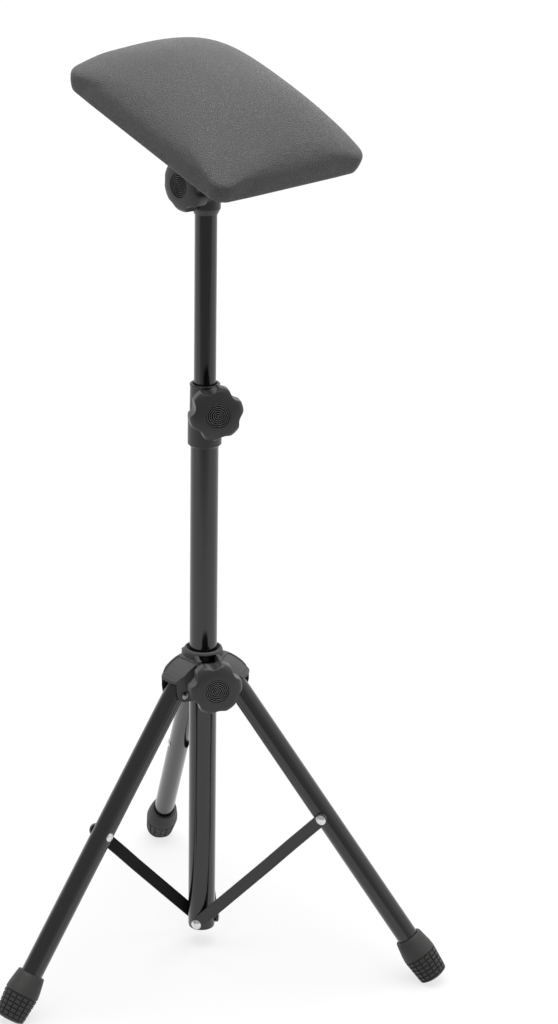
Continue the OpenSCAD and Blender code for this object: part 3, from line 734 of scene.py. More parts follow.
def staple_tree() -> NodeTree:
    """A tree that sets staples along a rounded rectangle, each lying along the path.

    Returns:
        The tree, with the inputs Length, Width, Corner, Spacing, Staple and Finish.
    """
    tree = NodeTree("staple_line")
    length, width, corner, spacing = tree.inputs("Float", "Length", "Width", "Corner", "Spacing")
    (staple,) = tree.inputs("Object", "Staple")
    (finish,) = tree.inputs("Material", "Finish")
    feeds = {"Width": width, "Height": length}
    path = tree.add("GeometryNodeCurvePrimitiveQuadrilateral", feeds, mode="RECTANGLE")
    bend = tree.add("GeometryNodeFilletCurve", {"Curve": path.outputs[0], "Radius": corner})
    feeds = {"Curve": bend.outputs[0], "Length": spacing}
    even = tree.add("GeometryNodeResampleCurve", feeds, mode="LENGTH")
    along = {"Vector": tree.add("GeometryNodeInputTangent").outputs[0]}
    turn = tree.add("FunctionNodeAlignRotationToVector", along, axis="X")
    copies = tree.copies(even.outputs[0], tree.model(staple), Rotation=turn.outputs[0])
    tree.finish(copies, finish)
    return tree


# ---- Finishes


class CellPart(Enum):
    """From what a cell pattern gives the distance."""

    MIDDLE = "F1"
    BORDER = "DISTANCE_TO_EDGE"


class Shader(NodeBoard):
    """A material's shader tree on Object coordinates."""

    def __init__(self, name: str) -> None:
        """Starts a material with one Principled shader.

        Args:
            name: The material's name.
        """
        self.material = bpy.data.materials.new(name)
        self.material.use_nodes = True
        super().__init__(self.material.node_tree)
        self.body = self.add("ShaderNodeBsdfPrincipled")
        self.add("ShaderNodeOutputMaterial", {"Surface": self.body.outputs[0]})
        self.place = self.add("ShaderNodeTexCoord").outputs["Object"]

    def stretched(self, scale: tuple[float, float, float], turn: Euler | None = None) -> Socket:
        """Object coordinates, turned and then scaled along each axis.

        Args:
            scale: Scale along X, Y and Z.
            turn: Rotation of the pattern.

        Returns:
            The coordinates.
        """
        mapping = self.add("ShaderNodeMapping", {"Vector": self.place, "Scale": scale})
        if turn is not None:
            mapping.inputs["Rotation"].default_value = turn
        return mapping.outputs[0]

    def noise(self, scale: float, detail: float = 3.0, where: Socket | None = None) -> Socket:
        """A noise pattern.

        Args:
            scale: Cells per metre.
            detail: Octaves of detail.
            where: Coordinates, or None for Object coordinates.

        Returns:
            Its value, from 0 to 1.
        """
        feeds = {"Vector": where or self.place, "Scale": scale, "Detail": detail}
        return self.add("ShaderNodeTexNoise", feeds).outputs[0]

    def cells(
        self, scale: float, part: CellPart = CellPart.MIDDLE, where: Socket | None = None
    ) -> Socket:
        """A cell pattern.

        Args:
            scale: Cells per metre.
            part: From what the distance is taken.
            where: Coordinates, or None for Object coordinates.

        Returns:
            The distance.
        """
        feeds = {"Vector": where or self.place, "Scale": scale}
        made = self.add("ShaderNodeTexVoronoi", feeds, feature=part.value)
        return made.outputs["Distance"]

    def open_share(self, reach: float) -> Socket:
        """How open the surface is, from 0 in a deep corner to 1 on a plain face.

        Args:
            reach: How far away other surfaces count, in millimetres.

        Returns:
            The share.
        """
        node = self.add("ShaderNodeAmbientOcclusion", {"Distance": reach * MM}, samples=6)
        return node.outputs["AO"]

    def blend(self, share: Socket, a: Sequence[float], b: Sequence[float]) -> Socket:
        """A colour between two others.

        Args:
            share: Share of the second colour.
            a: First colour.
            b: Second colour.

        Returns:
            The colour.
        """
        feeds = {"Factor": share, "A": a, "B": b}
        return self.add("ShaderNodeMix", feeds, data_type="RGBA").outputs["Result"]

    def bump(
        self, height: Socket, strength: float, depth: float, under: Socket | None = None
    ) -> Socket:
        """Raises the surface in shading.

        Args:
            height: The height pattern.
            strength: Strength from 0 to 1.
            depth: Depth in metres.
            under: Normal that this one is laid over.

        Returns:
            The normal.
        """
        feeds = {"Strength": strength, "Distance": depth, "Height": height}
        if under is not None:
            feeds["Normal"] = under
        return self.add("ShaderNodeBump", feeds).outputs[0]

    def feed(self, **sources: Feed) -> None:
        """Feeds the shader's own sockets, with spaces in their names as underscores."""
        for key, source in sources.items():
            self.wire(source, self.body.inputs[key.replace("_", " ")])


@dataclass(frozen=True)
class GlossPaint:
    """Gloss powder coat on steel, with a faint orange peel and fine rub marks along the tube."""

    name: str
    level: int = 0x18
    shine: float = 0.16
    peel: float = 0.05

    def build(self) -> Material:
        """Makes the material."""
        s = Shader(self.name)
        cloud = s.noise(22, 3)
        rub = s.noise(90, 4, s.stretched((6.0, 6.0, 0.35)))
        s.feed(
            Base_Color=s.blend(cloud, grey(self.level - 3), grey(self.level + 4)),
            Roughness=s.span(rub, 0.35, 0.75, self.shine * 0.8, self.shine * 1.7),
            Normal=s.bump(s.noise(420, 2), self.peel, 0.0004),
            IOR=1.5,
            Coat_Weight=0.35,
            Coat_Roughness=0.08,
        )
        return s.material


@dataclass(frozen=True)
class MouldedPlastic:
    """Injection-moulded plastic with a fine spark-eroded grain, slightly uneven gloss and painted
    shade that darkens its corners and hollows.
    """

    name: str
    level: int
    shine: float
    grain: float = 0.16
    edge: float = 0.35
    depth: float = 2.2

    def build(self) -> Material:
        """Makes the material."""
        s = Shader(self.name)
        cloud = s.noise(45, 4)
        fine = s.noise(1900, 2)
        rounded = s.add("ShaderNodeBevel", {"Radius": self.edge * MM}, samples=6)
        # Painted shade: ambient occlusion darkens the colour in corners and hollows, mixed with a
        # little random tone
        hollow_shade = s.span(s.open_share(self.depth), 0.25, 0.95, 0.0, 1.0)
        tone_and_shade = s.math("MULTIPLY_ADD", cloud, 0.2, hollow_shade)
        s.feed(
            Base_Color=s.blend(tone_and_shade, grey(self.level - 34), grey(self.level + 3)),
            Roughness=s.span(cloud, 0.3, 0.7, self.shine * 0.88, self.shine * 1.15),
            Normal=s.bump(fine, self.grain, 0.00012, rounded.outputs[0]),
            IOR=1.48,
        )
        return s.material


@dataclass(frozen=True)
class MarkedFinish:
    """Black plastic or paint whose marked parts are painted darker and duller than the rest, as
    painted shade.
    """

    name: str
    mark: str
    level: int
    low_level: int
    shine: float
    low_shine: float
    low_gloss: float

    def build(self) -> Material:
        """Makes the material, which reads its own mesh's attribute."""
        s = Shader(self.name)
        low = s.add("ShaderNodeAttribute", attribute_name=self.mark).outputs["Fac"]
        cloud = s.noise(80, 4)
        s.feed(
            Base_Color=s.blend(low, grey(self.level), grey(self.low_level)),
            Roughness=s.span(low, 0.0, 1.0, self.shine, self.low_shine),
            Specular_IOR_Level=s.span(low, 0.0, 1.0, 0.5, self.low_gloss),
            Normal=s.bump(cloud, 0.06, 0.0004),
            IOR=1.5,
        )
        return s.material


@dataclass(frozen=True)
class Metal:
    """Bare or plated metal with fine turning marks and a soft stain."""

    name: str
    colour: tuple[float, float, float, float]
    stain: tuple[float, float, float, float]
    shine: float
    marks: float = 0.05

    def build(self) -> Material:
        """Makes the material."""
        s = Shader(self.name)
        cloud = s.noise(160, 5)
        marks = s.noise(700, 3, s.stretched((1.0, 1.0, 5.0)))
        s.feed(
            Base_Color=s.blend(s.span(cloud, 0.35, 0.75, 0, 1), self.colour, self.stain),
            Roughness=s.span(marks, 0.3, 0.7, self.shine * 0.75, self.shine * 1.4),
            Normal=s.bump(marks, self.marks, 0.0001),
            Metallic=1.0,
        )
        return s.material


@dataclass(frozen=True)
class Rubber:
    """Moulded rubber, dull, with a bloom of dust, painted shade in its grooves and a matte skin."""

    name: str
    level: int = 0x3E
    shine: float = 0.5
    groove: float = 1.4

    def build(self) -> Material:
        """Makes the material."""
        s = Shader(self.name)
        bloom = s.noise(70, 6)
        skin = s.noise(1300, 3)
        # Painted shade: ambient occlusion darkens the grooves between the tread blocks, and the
        # bloom noise adds real dust over it
        hollow_shade = s.span(s.open_share(self.groove), 0.3, 0.95, -0.2, 0.8)
        dust_and_shade = s.math("MULTIPLY_ADD", bloom, 0.3, hollow_shade)
        s.feed(
            Base_Color=s.blend(dust_and_shade, grey(0x10), grey(self.level + 5, 0.02)),
            Roughness=s.span(bloom, 0.3, 0.7, self.shine * 0.9, self.shine * 1.2),
            Normal=s.bump(skin, 0.2, 0.00015),
            IOR=1.46,
        )
        return s.material


@dataclass(frozen=True)
class Leatherette:
    """Embossed synthetic leather: small rounded pebbles with fine creases between them."""

    name: str
    level: int = 0x82
    pebble: float = 680.0
    wander: float = 520.0
    wander_depth: float = 0.0009
    shine: float = 0.42

    def build(self) -> Material:
        """Makes the material."""
        s = Shader(self.name)
        drift = s.noise(260, 3)
        wobble = s.add("ShaderNodeTexNoise", {"Vector": s.place, "Scale": self.wander})
        push = s.add("ShaderNodeVectorMath", {"Scale": self.wander_depth}, operation="SCALE")
        s.wire(wobble.outputs["Color"], push.inputs[0])
        where = s.add("ShaderNodeVectorMath", operation="ADD")
        s.wire(s.place, where.inputs[0])
        s.wire(push.outputs[0], where.inputs[1])
        crease = s.cells(self.pebble, CellPart.BORDER, where.outputs[0])
        pebbles = s.span(crease, 0.0, 0.26, 0.0, 1.0)
        under = s.bump(s.noise(11, 3), 0.08, 0.002)
        grain = s.bump(pebbles, 0.85, 0.0005, under)
        s.feed(
            Base_Color=s.blend(pebbles, grey(self.level - 26), grey(self.level + 3)),
            Roughness=s.span(drift, 0.3, 0.7, self.shine * 0.9, self.shine * 1.12),
            Normal=s.bump(s.noise(4200, 2), 0.08, 0.0001, grain),
            IOR=1.45,
            Specular_IOR_Level=0.28,
            Sheen_Weight=0.05,
            Sheen_Roughness=0.4,
        )
        return s.material


@dataclass(frozen=True)
class Plywood:
    """Raw plywood with grain along the pad and plies across its edge."""

    name: str
    plies: float = 95.0
    waviness: float = 1.5

    def build(self) -> Material:
        """Makes the material."""
        s = Shader(self.name)
        turn = Euler((math.radians(-LAYOUT.pad_tilt), 0, 0))
        grain = s.noise(60, 6, s.stretched((9.0, 0.7, 9.0), turn))
        feeds = {
            "Vector": s.stretched((1.0, 1.0, 1.0), turn),
            "Scale": self.plies,
            "Distortion": self.waviness,
        }
        plies = s.add("ShaderNodeTexWave", feeds, bands_direction="Z")
        s.feed(
            Base_Color=s.blend(grain, (0.42, 0.27, 0.14, 1), (0.66, 0.48, 0.29, 1)),
            Roughness=s.span(grain, 0.2, 0.8, 0.6, 0.85),
            Normal=s.bump(plies.outputs["Fac"], 0.15, 0.0003),
        )
        return s.material


@dataclass(frozen=True)
class Nonwoven:
    """Spun dust cloth with a pressed dot pattern and loose fibres."""

    name: str
    level: int = 0x26

    def build(self) -> Material:
        """Makes the material."""
        s = Shader(self.name)
        dots = s.span(s.cells(520), 0.0, 0.35, 0.0, 1.0)
        fibres = s.noise(900, 6, s.stretched((1.0, 4.0, 1.0)))
        s.feed(
            Base_Color=s.blend(fibres, grey(self.level - 6), grey(self.level + 12)),
            Roughness=s.span(fibres, 0.2, 0.8, 0.8, 0.98),
            Normal=s.bump(dots, 0.4, 0.0002, s.bump(fibres, 0.3, 0.0002)),
            Sheen_Weight=0.15,
        )
        return s.material


class Workshop:
    """Every finish and node tree that the sub-assemblies share."""

    def __init__(self) -> None:
        """Builds the finishes and the trees."""
        self.paint = GlossPaint("gloss_black_paint").build()
        # Brace paint: outer faces painted lighter than the tube paint as a painted reflection of
        # the floor, inner faces darker and duller as painted shade
        self.brace_paint = MarkedFinish(
            "brace_paint", "inner", 0x3C, 0x2B, 0.28, 0.6, 0.12
        ).build()
        self.plastic = MouldedPlastic("moulded_plastic", 0x42, 0.34).build()
        self.hub_plastic = MouldedPlastic("hub_plastic", 0x5A, 0.6).build()
        self.knob_plastic = MouldedPlastic("knob_plastic", 0x38, 0.34, 0.2).build()
        # Insert finish: the marked hollow under the ridges is painted almost black with almost no
        # gloss, as painted shade in the grooves
        self.insert = MarkedFinish(
            "insert_plastic", "hollow", 0x70, 0x02, 0.3, 0.8, 0.02
        ).build()
        self.chrome = Metal("rivet_chrome", grey(0xE2), grey(0xCC), 0.14).build()
        self.pin_steel = Metal("pin_steel", grey(0x92), grey(0x6E), 0.24).build()
        self.zinc = Metal("zinc_steel", grey(0xBE, 0.02), grey(0xA0, 0.05), 0.34, 0.1).build()
        self.rubber = Rubber("foot_rubber").build()
        self.cover = Leatherette("cover_leatherette").build()
        self.wood = Plywood("board_plywood").build()
        self.cloth = Nonwoven("dust_cloth").build()
        # Near-black finish for the rim rings that paint shade into the gaps round the column and
        # the mast
        self.gap_shade = Nonwoven("rim_painted_shade", 0x0A).build()
        self.fasteners = fastener_tree()
        self.rings = ring_tree()
        self.tread = tread_tree()
        self.staples = staple_tree()

    def place(
        self,
        thing: bpy.types.Object,
        body: str,
        finish: Material,
        slot: str,
        nodes: Sequence[str] = (),
    ) -> None:
        """Dresses a finished piece and sets it on its CAD body.

        Args:
            thing: The piece.
            body: The CAD body that it rides on.
            finish: Its material.
            slot: The record's material slot; not used.
            nodes: The CAD nodes that it stands for.
        """
        thing.data.materials.clear()
        thing.data.materials.append(finish)
        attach(thing, body)
        if nodes:
            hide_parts(*nodes)
        log.info("%s on %s: %d faces", thing.name, body, len(thing.data.polygons))

    def dress(self, node: str, finish: Material) -> None:
        """Gives a CAD node that stays in view a better material.

        Args:
            node: The CAD node.
            finish: Its material.
        """
        thing = frame["nodes"][node]
        if not thing.material_slots:
            thing.data.materials.append(finish)
        for slot in thing.material_slots:
            slot.material = finish
        log.info("%s keeps its CAD shape", node)

    def scatter(
        self, name: str, template: Shell, places: Sequence[Matrix], finish: Material
    ) -> bpy.types.Object:
        """Sets copies of one fastener at several places as one piece.

        Args:
            name: The piece's name.
            template: The fastener, standing on the origin along +Z.
            places: Where each copy goes, in millimetres.
            finish: Its material.

        Returns:
            The piece with its plain mesh.
        """
        model = linked("template_" + name, template.mesh("template"))
        anchors = bpy.data.meshes.new("anchors_" + name)
        anchors.from_pydata([m.translation * MM for m in places], [], [])
        turn = anchors.attributes.new("turn", "FLOAT_VECTOR", "POINT")
        for item, place in zip(turn.data, places):
            item.vector = place.to_euler("XYZ")
        bpy.context.view_layer.update()
        thing = self.fasteners.grow(name, anchors, {"Fastener": model, "Finish": finish})
        bpy.data.objects.remove(model)
        smooth(thing.data)
        return thing


# ---- Small hardware


@dataclass(frozen=True)
class Rivet:
    """A rivet or pin: a shank with a domed head on one end or on both."""

    radius: float = 4.8
    height: float = 2.2
    shank_r: float = 3.0
    length: float = 2.5
    rim: float = 0.35
    lip: tuple[float, float] = (0.15, 0.12)
    steps: int = 8
    segments: int = 40
    ends: int = 1

    def dome(self) -> Profile:
        """The head's profile, from its flat underside at 0 up to its middle."""
        rise = self.height - self.rim
        ball = (self.radius**2 + rise**2) / (2 * rise)
        span = math.asin(min(1.0, self.radius / ball))
        out: Profile = [(self.radius - self.lip[0], 0.0), (self.radius, self.lip[1])]
        for k in range(self.steps):
            angle = span * (1 - k / self.steps)
            out.append((ball * math.sin(angle), ball * math.cos(angle) - ball + self.height))
        return [*out, (0.0, self.height)]

    def shell(self) -> Shell:
        """The rivet, with its head's underside on the origin and its dome towards +Z."""
        low: Profile = [(0.0, -self.length), (self.shank_r, -self.length), (self.shank_r, 0.0)]
        if self.ends == 2:
            low = [(r, -self.length - z) for r, z in reversed(self.dome())]
            low += [(self.shank_r, -self.length), (self.shank_r, 0.0)]
        out = Shell()
        out.lathe(low + self.dome(), Matrix(), Spin.OPEN, self.segments)
        return out


@dataclass(frozen=True)
class Staple:
    """An upholstery staple: a flat crown with its two legs going into the board."""

    crown: float = 9.0
    wire: float = 0.7
    sink: float = 1.4
    leans: tuple[int, ...] = (0, 45, 80, 80, 45, 0)

    def shell(self) -> Shell:
        """The staple, lying along X with its crown just above the origin."""
        half, leg = self.crown / 2, self.wire
        path = [(-half, -self.sink), (-half, 0.0), (-half + leg * 0.5, leg * 0.45)]
        path += [(half - leg * 0.5, leg * 0.45), (half, 0.0), (half, -self.sink)]
        rings = []
        for (x, z), slope in zip(path, self.leans):
            lean = math.radians(slope) * (1 if x < 0 else -1)
            across = Vector((math.cos(lean), 0, -math.sin(lean))) * leg / 2
            side = Vector((0, leg * 0.75, 0))
            section = ((-1, -1), (1, -1), (1, 1), (-1, 1))
            rings.append([Vector((x, 0, z)) + across * u + side * v for u, v in section])
        out = Shell()
        out.skin(rings, Matrix(), Spin.OPEN)
        return out


# ---- Knobs


@dataclass(frozen=True)
class LobedKnob:
    """A moulded clamp knob: six soft lobes, a neck behind and a recess for the insert."""

    radius: float = 25.0
    neck_r: float = 9.5
    neck_h: float = 6.0
    height: float = 22.0
    rim: float = 7.4
    rim_turn: float = 78.0
    face_dome: float = 2.2
    face_r: float = 16.0
    lobes: int = 6
    notch_r: float = 9.2
    notch_depth: float = 4.3
    notch_corner: float = 3.2
    notch_blend: float = 1.3
    recess: float = 2.4
    insert_r: float = 10.8
    insert_gap: float = 0.06
    insert_depth: float = 1.1
    insert_rise: float = 1.55
    insert_rings: int = 6
    ridge: float = 0.42
    ridge_sink: float = -0.6
    segments: int = 216

    def outline(self, angle: float) -> float:
        """Radius of the lobed outline in one direction, with the notch corners rounded.

        Args:
            angle: Direction in radians from the middle of a notch.

        Returns:
            The radius in millimetres.
        """
        step = 2 * math.pi / self.lobes
        angle = (angle + step / 2) % step - step / 2
        centre = self.radius + self.notch_r - self.notch_depth
        soft = self.notch_corner
        low, high = 0.0, self.radius + 1
        for _ in range(26):
            r = (low + high) / 2
            x, y = r * math.cos(angle) - centre, r * math.sin(angle)
            rim, notch = r - self.radius, self.notch_r - math.hypot(x, y)
            share = max(soft - abs(rim - notch), 0) / soft
            outside = max(rim, notch) + share * share * soft / 4
            low, high = (low, r) if outside > 0 else (r, high)
        return (low + high) / 2

    def profile(self) -> Profile:
        """The profile of the knob before its notches, from the back to the recess."""
        front = self.height - self.rim - self.face_dome * 0.6
        out: Profile = [(0.0, 0.0)]
        out += filleted(
            [
                (0.5, 0.0, 0),
                (self.neck_r, 0.0, 0.6),
                (self.neck_r, self.neck_h, 1.4),
                (self.radius, self.neck_h, 1.8),
                (self.radius, front, 0),
            ],
            steps=4,
        )
        for k in range(1, 11):
            angle = math.radians(self.rim_turn * k / 10)
            inset = self.rim * (1 - math.cos(angle))
            out.append((self.radius - inset, front + self.rim * math.sin(angle)))
        top = self.height - self.face_dome * 0.12
        out += [(self.face_r, top - 0.25), (self.insert_r + 1.2, top)]
        out += filleted(
            [
                (self.insert_r + 0.9, top, 0),
                (self.insert_r, top, 0.35),
                (self.insert_r, self.height - self.recess, 0),
            ],
            steps=3,
        )
        out += [(self.insert_r * 0.5, self.height - self.recess), (0.0, self.height - self.recess)]
        return out

    def shell(self, place: Matrix, turn: float) -> Shell:
        """The knob's mesh.

        Args:
            place: The knob's frame, its back at 0 and its face towards +Z.
            turn: Direction of the first notch in degrees.

        Returns:
            The shell.
        """
        angles = [2 * math.pi * k / self.segments for k in range(self.segments)]
        edge = [self.outline(a - math.radians(turn)) for a in angles]
        soft = self.notch_blend
        rings: list[list[Vector]] = []
        for r, z in self.profile():
            if r < 1e-6:
                rings.append([Vector((0, 0, z))])
                continue
            ring = []
            for a, limit in zip(angles, edge):
                share = 0.0 if r < self.neck_r + 3 else max(soft - abs(r - limit), 0) / soft
                size = min(r, limit) - share * share * soft / 4
                ring.append(Vector((size * math.cos(a), size * math.sin(a), z)))
            rings.append(ring)
        out = Shell()
        out.skin(rings, place, Spin.OPEN)
        return out

    def build(self, shop: Workshop, name: str, place: Matrix, turn: float) -> None:
        """Makes the knob and its ringed insert on the body of the same name.

        Args:
            shop: The shared finishes and trees.
            name: Name of the knob's node and body.
            place: The knob's frame.
            turn: Direction of the first notch in degrees.
        """
        knob = linked(name + "_lobed", self.shell(place, turn).mesh(name))
        weighted(knob)
        shop.place(knob, name, shop.knob_plastic, "black_plastic", [name])
        insert = shop.rings.grow(
            name + "_insert",
            bpy.data.meshes.new(name + "_start"),
            {
                "Rings": self.insert_rings,
                "Pitch": self.insert_r / self.insert_rings * MM,
                "Ridge": self.ridge * MM,
                "Disc Radius": (self.insert_r - self.insert_gap) * MM,
                "Disc Depth": self.insert_depth * MM,
                "Sink": self.ridge_sink,
                "Top": (self.height - self.recess + self.insert_rise) * MM,
                "Finish": shop.insert,
            },
        )
        set_in(insert.data, place)
        smooth(insert.data)
        shop.place(insert, name, shop.insert, "insert_plastic", [name + "_cap"])


@dataclass
class Clamps:
    """The three clamp knobs, and the studs of the two on the column."""

    shop: Workshop
    knob: LobedKnob = LobedKnob()
    tilt_back: float = 10.1
    collar_back: float = 30.7
    hub_back: float = 36.3
    tilt_notch: float = -2.0
    collar_notch: float = 45.0
    hub_notch: float = 36.0

    def build(self) -> None:
        """Builds and places the knobs, and dresses the studs."""
        shop = self.shop
        collar = LAYOUT.screw(LAYOUT.collar_screw_z, self.collar_back)
        hub = LAYOUT.screw(LAYOUT.hub_screw_z, self.hub_back)
        self.knob.build(shop, "tilt_knob", LAYOUT.tilt_knob(self.tilt_back), self.tilt_notch)
        self.knob.build(shop, "mast_knob", collar, self.collar_notch)
        self.knob.build(shop, "hub_knob", hub, self.hub_notch)
        for node in ("mast_knob_stud", "hub_knob_stud"):
            shop.dress(node, shop.zinc)


# ---- Tubes and telescopic column


@dataclass(frozen=True)
class Tube:
    """A steel tube with its cut ends rounded over."""

    radius: float
    wall: float
    low: float
    high: float
    rounding: float = 0.45

    def shell(self, place: Matrix) -> Shell:
        """The tube's mesh at a place.

        Args:
            place: The tube's frame, +Z along it.

        Returns:
            The shell.
        """
        r, bore, soft = self.radius, self.radius - self.wall, self.rounding
        corners = [(bore, self.low), (r, self.low), (r, self.high), (bore, self.high)]
        profile = filleted([(*corner, soft) for corner in corners], Spin.LOOP, 3)
        out = Shell()
        out.lathe(profile, place, Spin.LOOP, 128)
        return out

    def build(self, shop: Workshop, name: str, body: str, place: Matrix) -> None:
        """Makes the painted tube that stands for a CAD node.

        Args:
            shop: The shared finishes and trees.
            name: Name of the node.
            body: The CAD body that it rides on.
            place: The tube's frame, +Z along it.
        """
        thing = linked(name + "_painted", self.shell(place).mesh(name))
        weighted(thing)
        shop.place(thing, body, shop.paint, "tube_paint", [name])


@dataclass(frozen=True)
class RimShade:
    """A near-black ring in the flared rim of a sliding part, as painted shade in the gap round the
    tube.
    """

    inner: float
    outer: float
    low: float
    high: float
    foot: float = 0.12
    lip: float = 0.2
    step: float = 0.5

    def build(self, shop: Workshop, name: str, body: str) -> None:
        """Makes the dark ring.

        Args:
            shop: The shared finishes and trees.
            name: The piece's name.
            body: The CAD body that it rides on.
        """
        profile = [
            (self.inner, self.low),
            (self.inner + self.foot, self.low),
            (self.outer, self.high),
            (self.outer - self.lip, self.high + self.foot),
            (self.inner, self.high - self.step),
        ]
        shell = Shell()
        shell.lathe(profile, Matrix(), Spin.LOOP)
        shop.place(linked(name, shell.mesh(name)), body, shop.gap_shade, "black_plastic")


@dataclass
class TelescopicColumn:
    """The lower tube, the sliding mast, and the collar and socket moulded for them."""

    shop: Workshop
    column: Tube = Tube(12.7, 1.5, 19.3, 529.3)
    mast: Tube = Tube(10.0, 1.5, 222.1, 727.1)
    # A near-black ring in the collar's rim, as painted shade in the gap round the mast
    gap_shade: RimShade = RimShade(10.28, 11.3, 556.9, 558.0)

    def build(self) -> None:
        """Builds and places every piece of the column and the mast."""
        shop = self.shop
        self.column.build(shop, "column_tube", "column", Matrix())
        self.mast.build(shop, "mast_tube", "mast", Matrix())
        for node in ("mast_collar", "column_plug", "mast_glide", "tilt_socket"):
            shop.dress(node, shop.plastic)
        self.gap_shade.build(shop, "collar_lining", "column")
        for node in ("collar_nut", "tilt_bolt"):
            shop.dress(node, shop.zinc)


# ---- Tripod


@dataclass(frozen=True)
class RubberFoot:
    """A moulded foot: a smooth cup over the tube and a tapering tread of small blocks."""

    length: float = 44.5
    bore: float = 10.0
    mouth_r: float = 12.6
    wide_r: float = 15.8
    wide_s: float = 19.0
    end_r: float = 13.5
    sole: float = 9.0
    toe: float = 3.4
    relief: float = 1.0
    groove: float = 0.8
    block_gap: float = 0.3
    block_root: float = 0.25
    rows: int = 5
    columns: int = 16

    @property
    def taper(self) -> float:
        """Change of the skin's radius for each millimetre down the tread."""
        return (self.end_r - self.wide_r) / (self.length - self.wide_s)

    @property
    def tread_end(self) -> float:
        """Distance from the mouth to the lower end of the tread."""
        return self.length - self.toe

    def skin(self, s: float) -> float:
        """Radius of the tread's outer skin at the distance s from the mouth."""
        return self.wide_r + self.taper * (s - self.wide_s)

    def profile(self) -> Profile:
        """The cup's profile, from its inner end round the mouth to the middle of the sole."""
        deep = self.length - self.sole
        out: Profile = [(0.0, -deep), (self.bore + 0.02, -deep), (self.bore + 0.02, -0.5)]
        out += filleted(
            [
                (self.bore + 0.4, 0.0, 0),
                (self.mouth_r, 0.0, 0.7),
                (self.mouth_r + 0.75, -3.2, 2.0),
                (self.wide_r - 0.55, -self.wide_s * 0.72, 9.0),
                (self.wide_r, -self.wide_s - 0.2, 0.4),
                (self.wide_r - self.relief, -self.wide_s - 0.45, 0.3),
                (self.wide_r - self.relief, -self.wide_s - 1.0, 0),
            ],
            steps=5,
        )
        end = self.tread_end
        out.append((self.skin(end) - self.relief, -end + 0.3))
        out += filleted(
            [
                (self.skin(end) - self.relief, -end - 0.2, 0),
                (self.skin(end) - 0.1, -end - 0.5, 0.5),
                (self.end_r - 0.2, -self.length + 1.6, 1.2),
                (self.end_r - 3.2, -self.length + 0.2, 1.5),
                (self.end_r - 6.0, -self.length, 0),
            ],
            steps=4,
        )
        out.append((0.0, -self.length))
        return out

    def build(self, shop: Workshop, side: Side) -> None:
        """Makes one foot: the cup, and the tread as blocks wrapped round it.

        Args:
            shop: The shared finishes and trees.
            side: The leg that it is pushed on.
        """
        number = side.number
        place = LAYOUT.leg(side) @ moved(0, 0, self.length - LAYOUT.leg_reach)
        cup = Shell()
        cup.lathe(self.profile(), place, Spin.OPEN, 120)
        thing = linked(f"foot_{number}_cup", cup.mesh(f"foot_{number}_cup"))
        weighted(thing)
        self.stand(thing.data)
        shop.place(thing, f"leg_{number}", shop.rubber, "foot_rubber", [f"leg_foot_{number}"])
        start = self.wide_s + self.groove + self.block_gap
        blocks = shop.tread.grow(
            f"foot_{number}_tread",
            bpy.data.meshes.new("tread_start"),
            {
                "Rows": self.rows,
                "Columns": self.columns,
                "Start": start * MM,
                "Pitch": (self.tread_end - start) / self.rows * MM,
                "Groove": self.groove * MM,
                "Relief": (self.relief + self.block_root) * MM,
                "Wide Radius": self.skin(start) * MM,
                "Slope": self.taper,
                "Finish": shop.rubber,
            },
        )
        set_in(blocks.data, place)
        self.stand(blocks.data)
        smooth(blocks.data)
        shop.place(blocks, f"leg_{number}", shop.rubber, "foot_rubber")

    def stand(self, mesh: bpy.types.Mesh) -> None:
        """Flattens what would lie under the floor, as the rubber's worn flat.

        Args:
            mesh: The mesh, in its final place.
        """
        for vertex in mesh.vertices:
            vertex.co.z = max(vertex.co.z, 0.0)
        mesh.update()


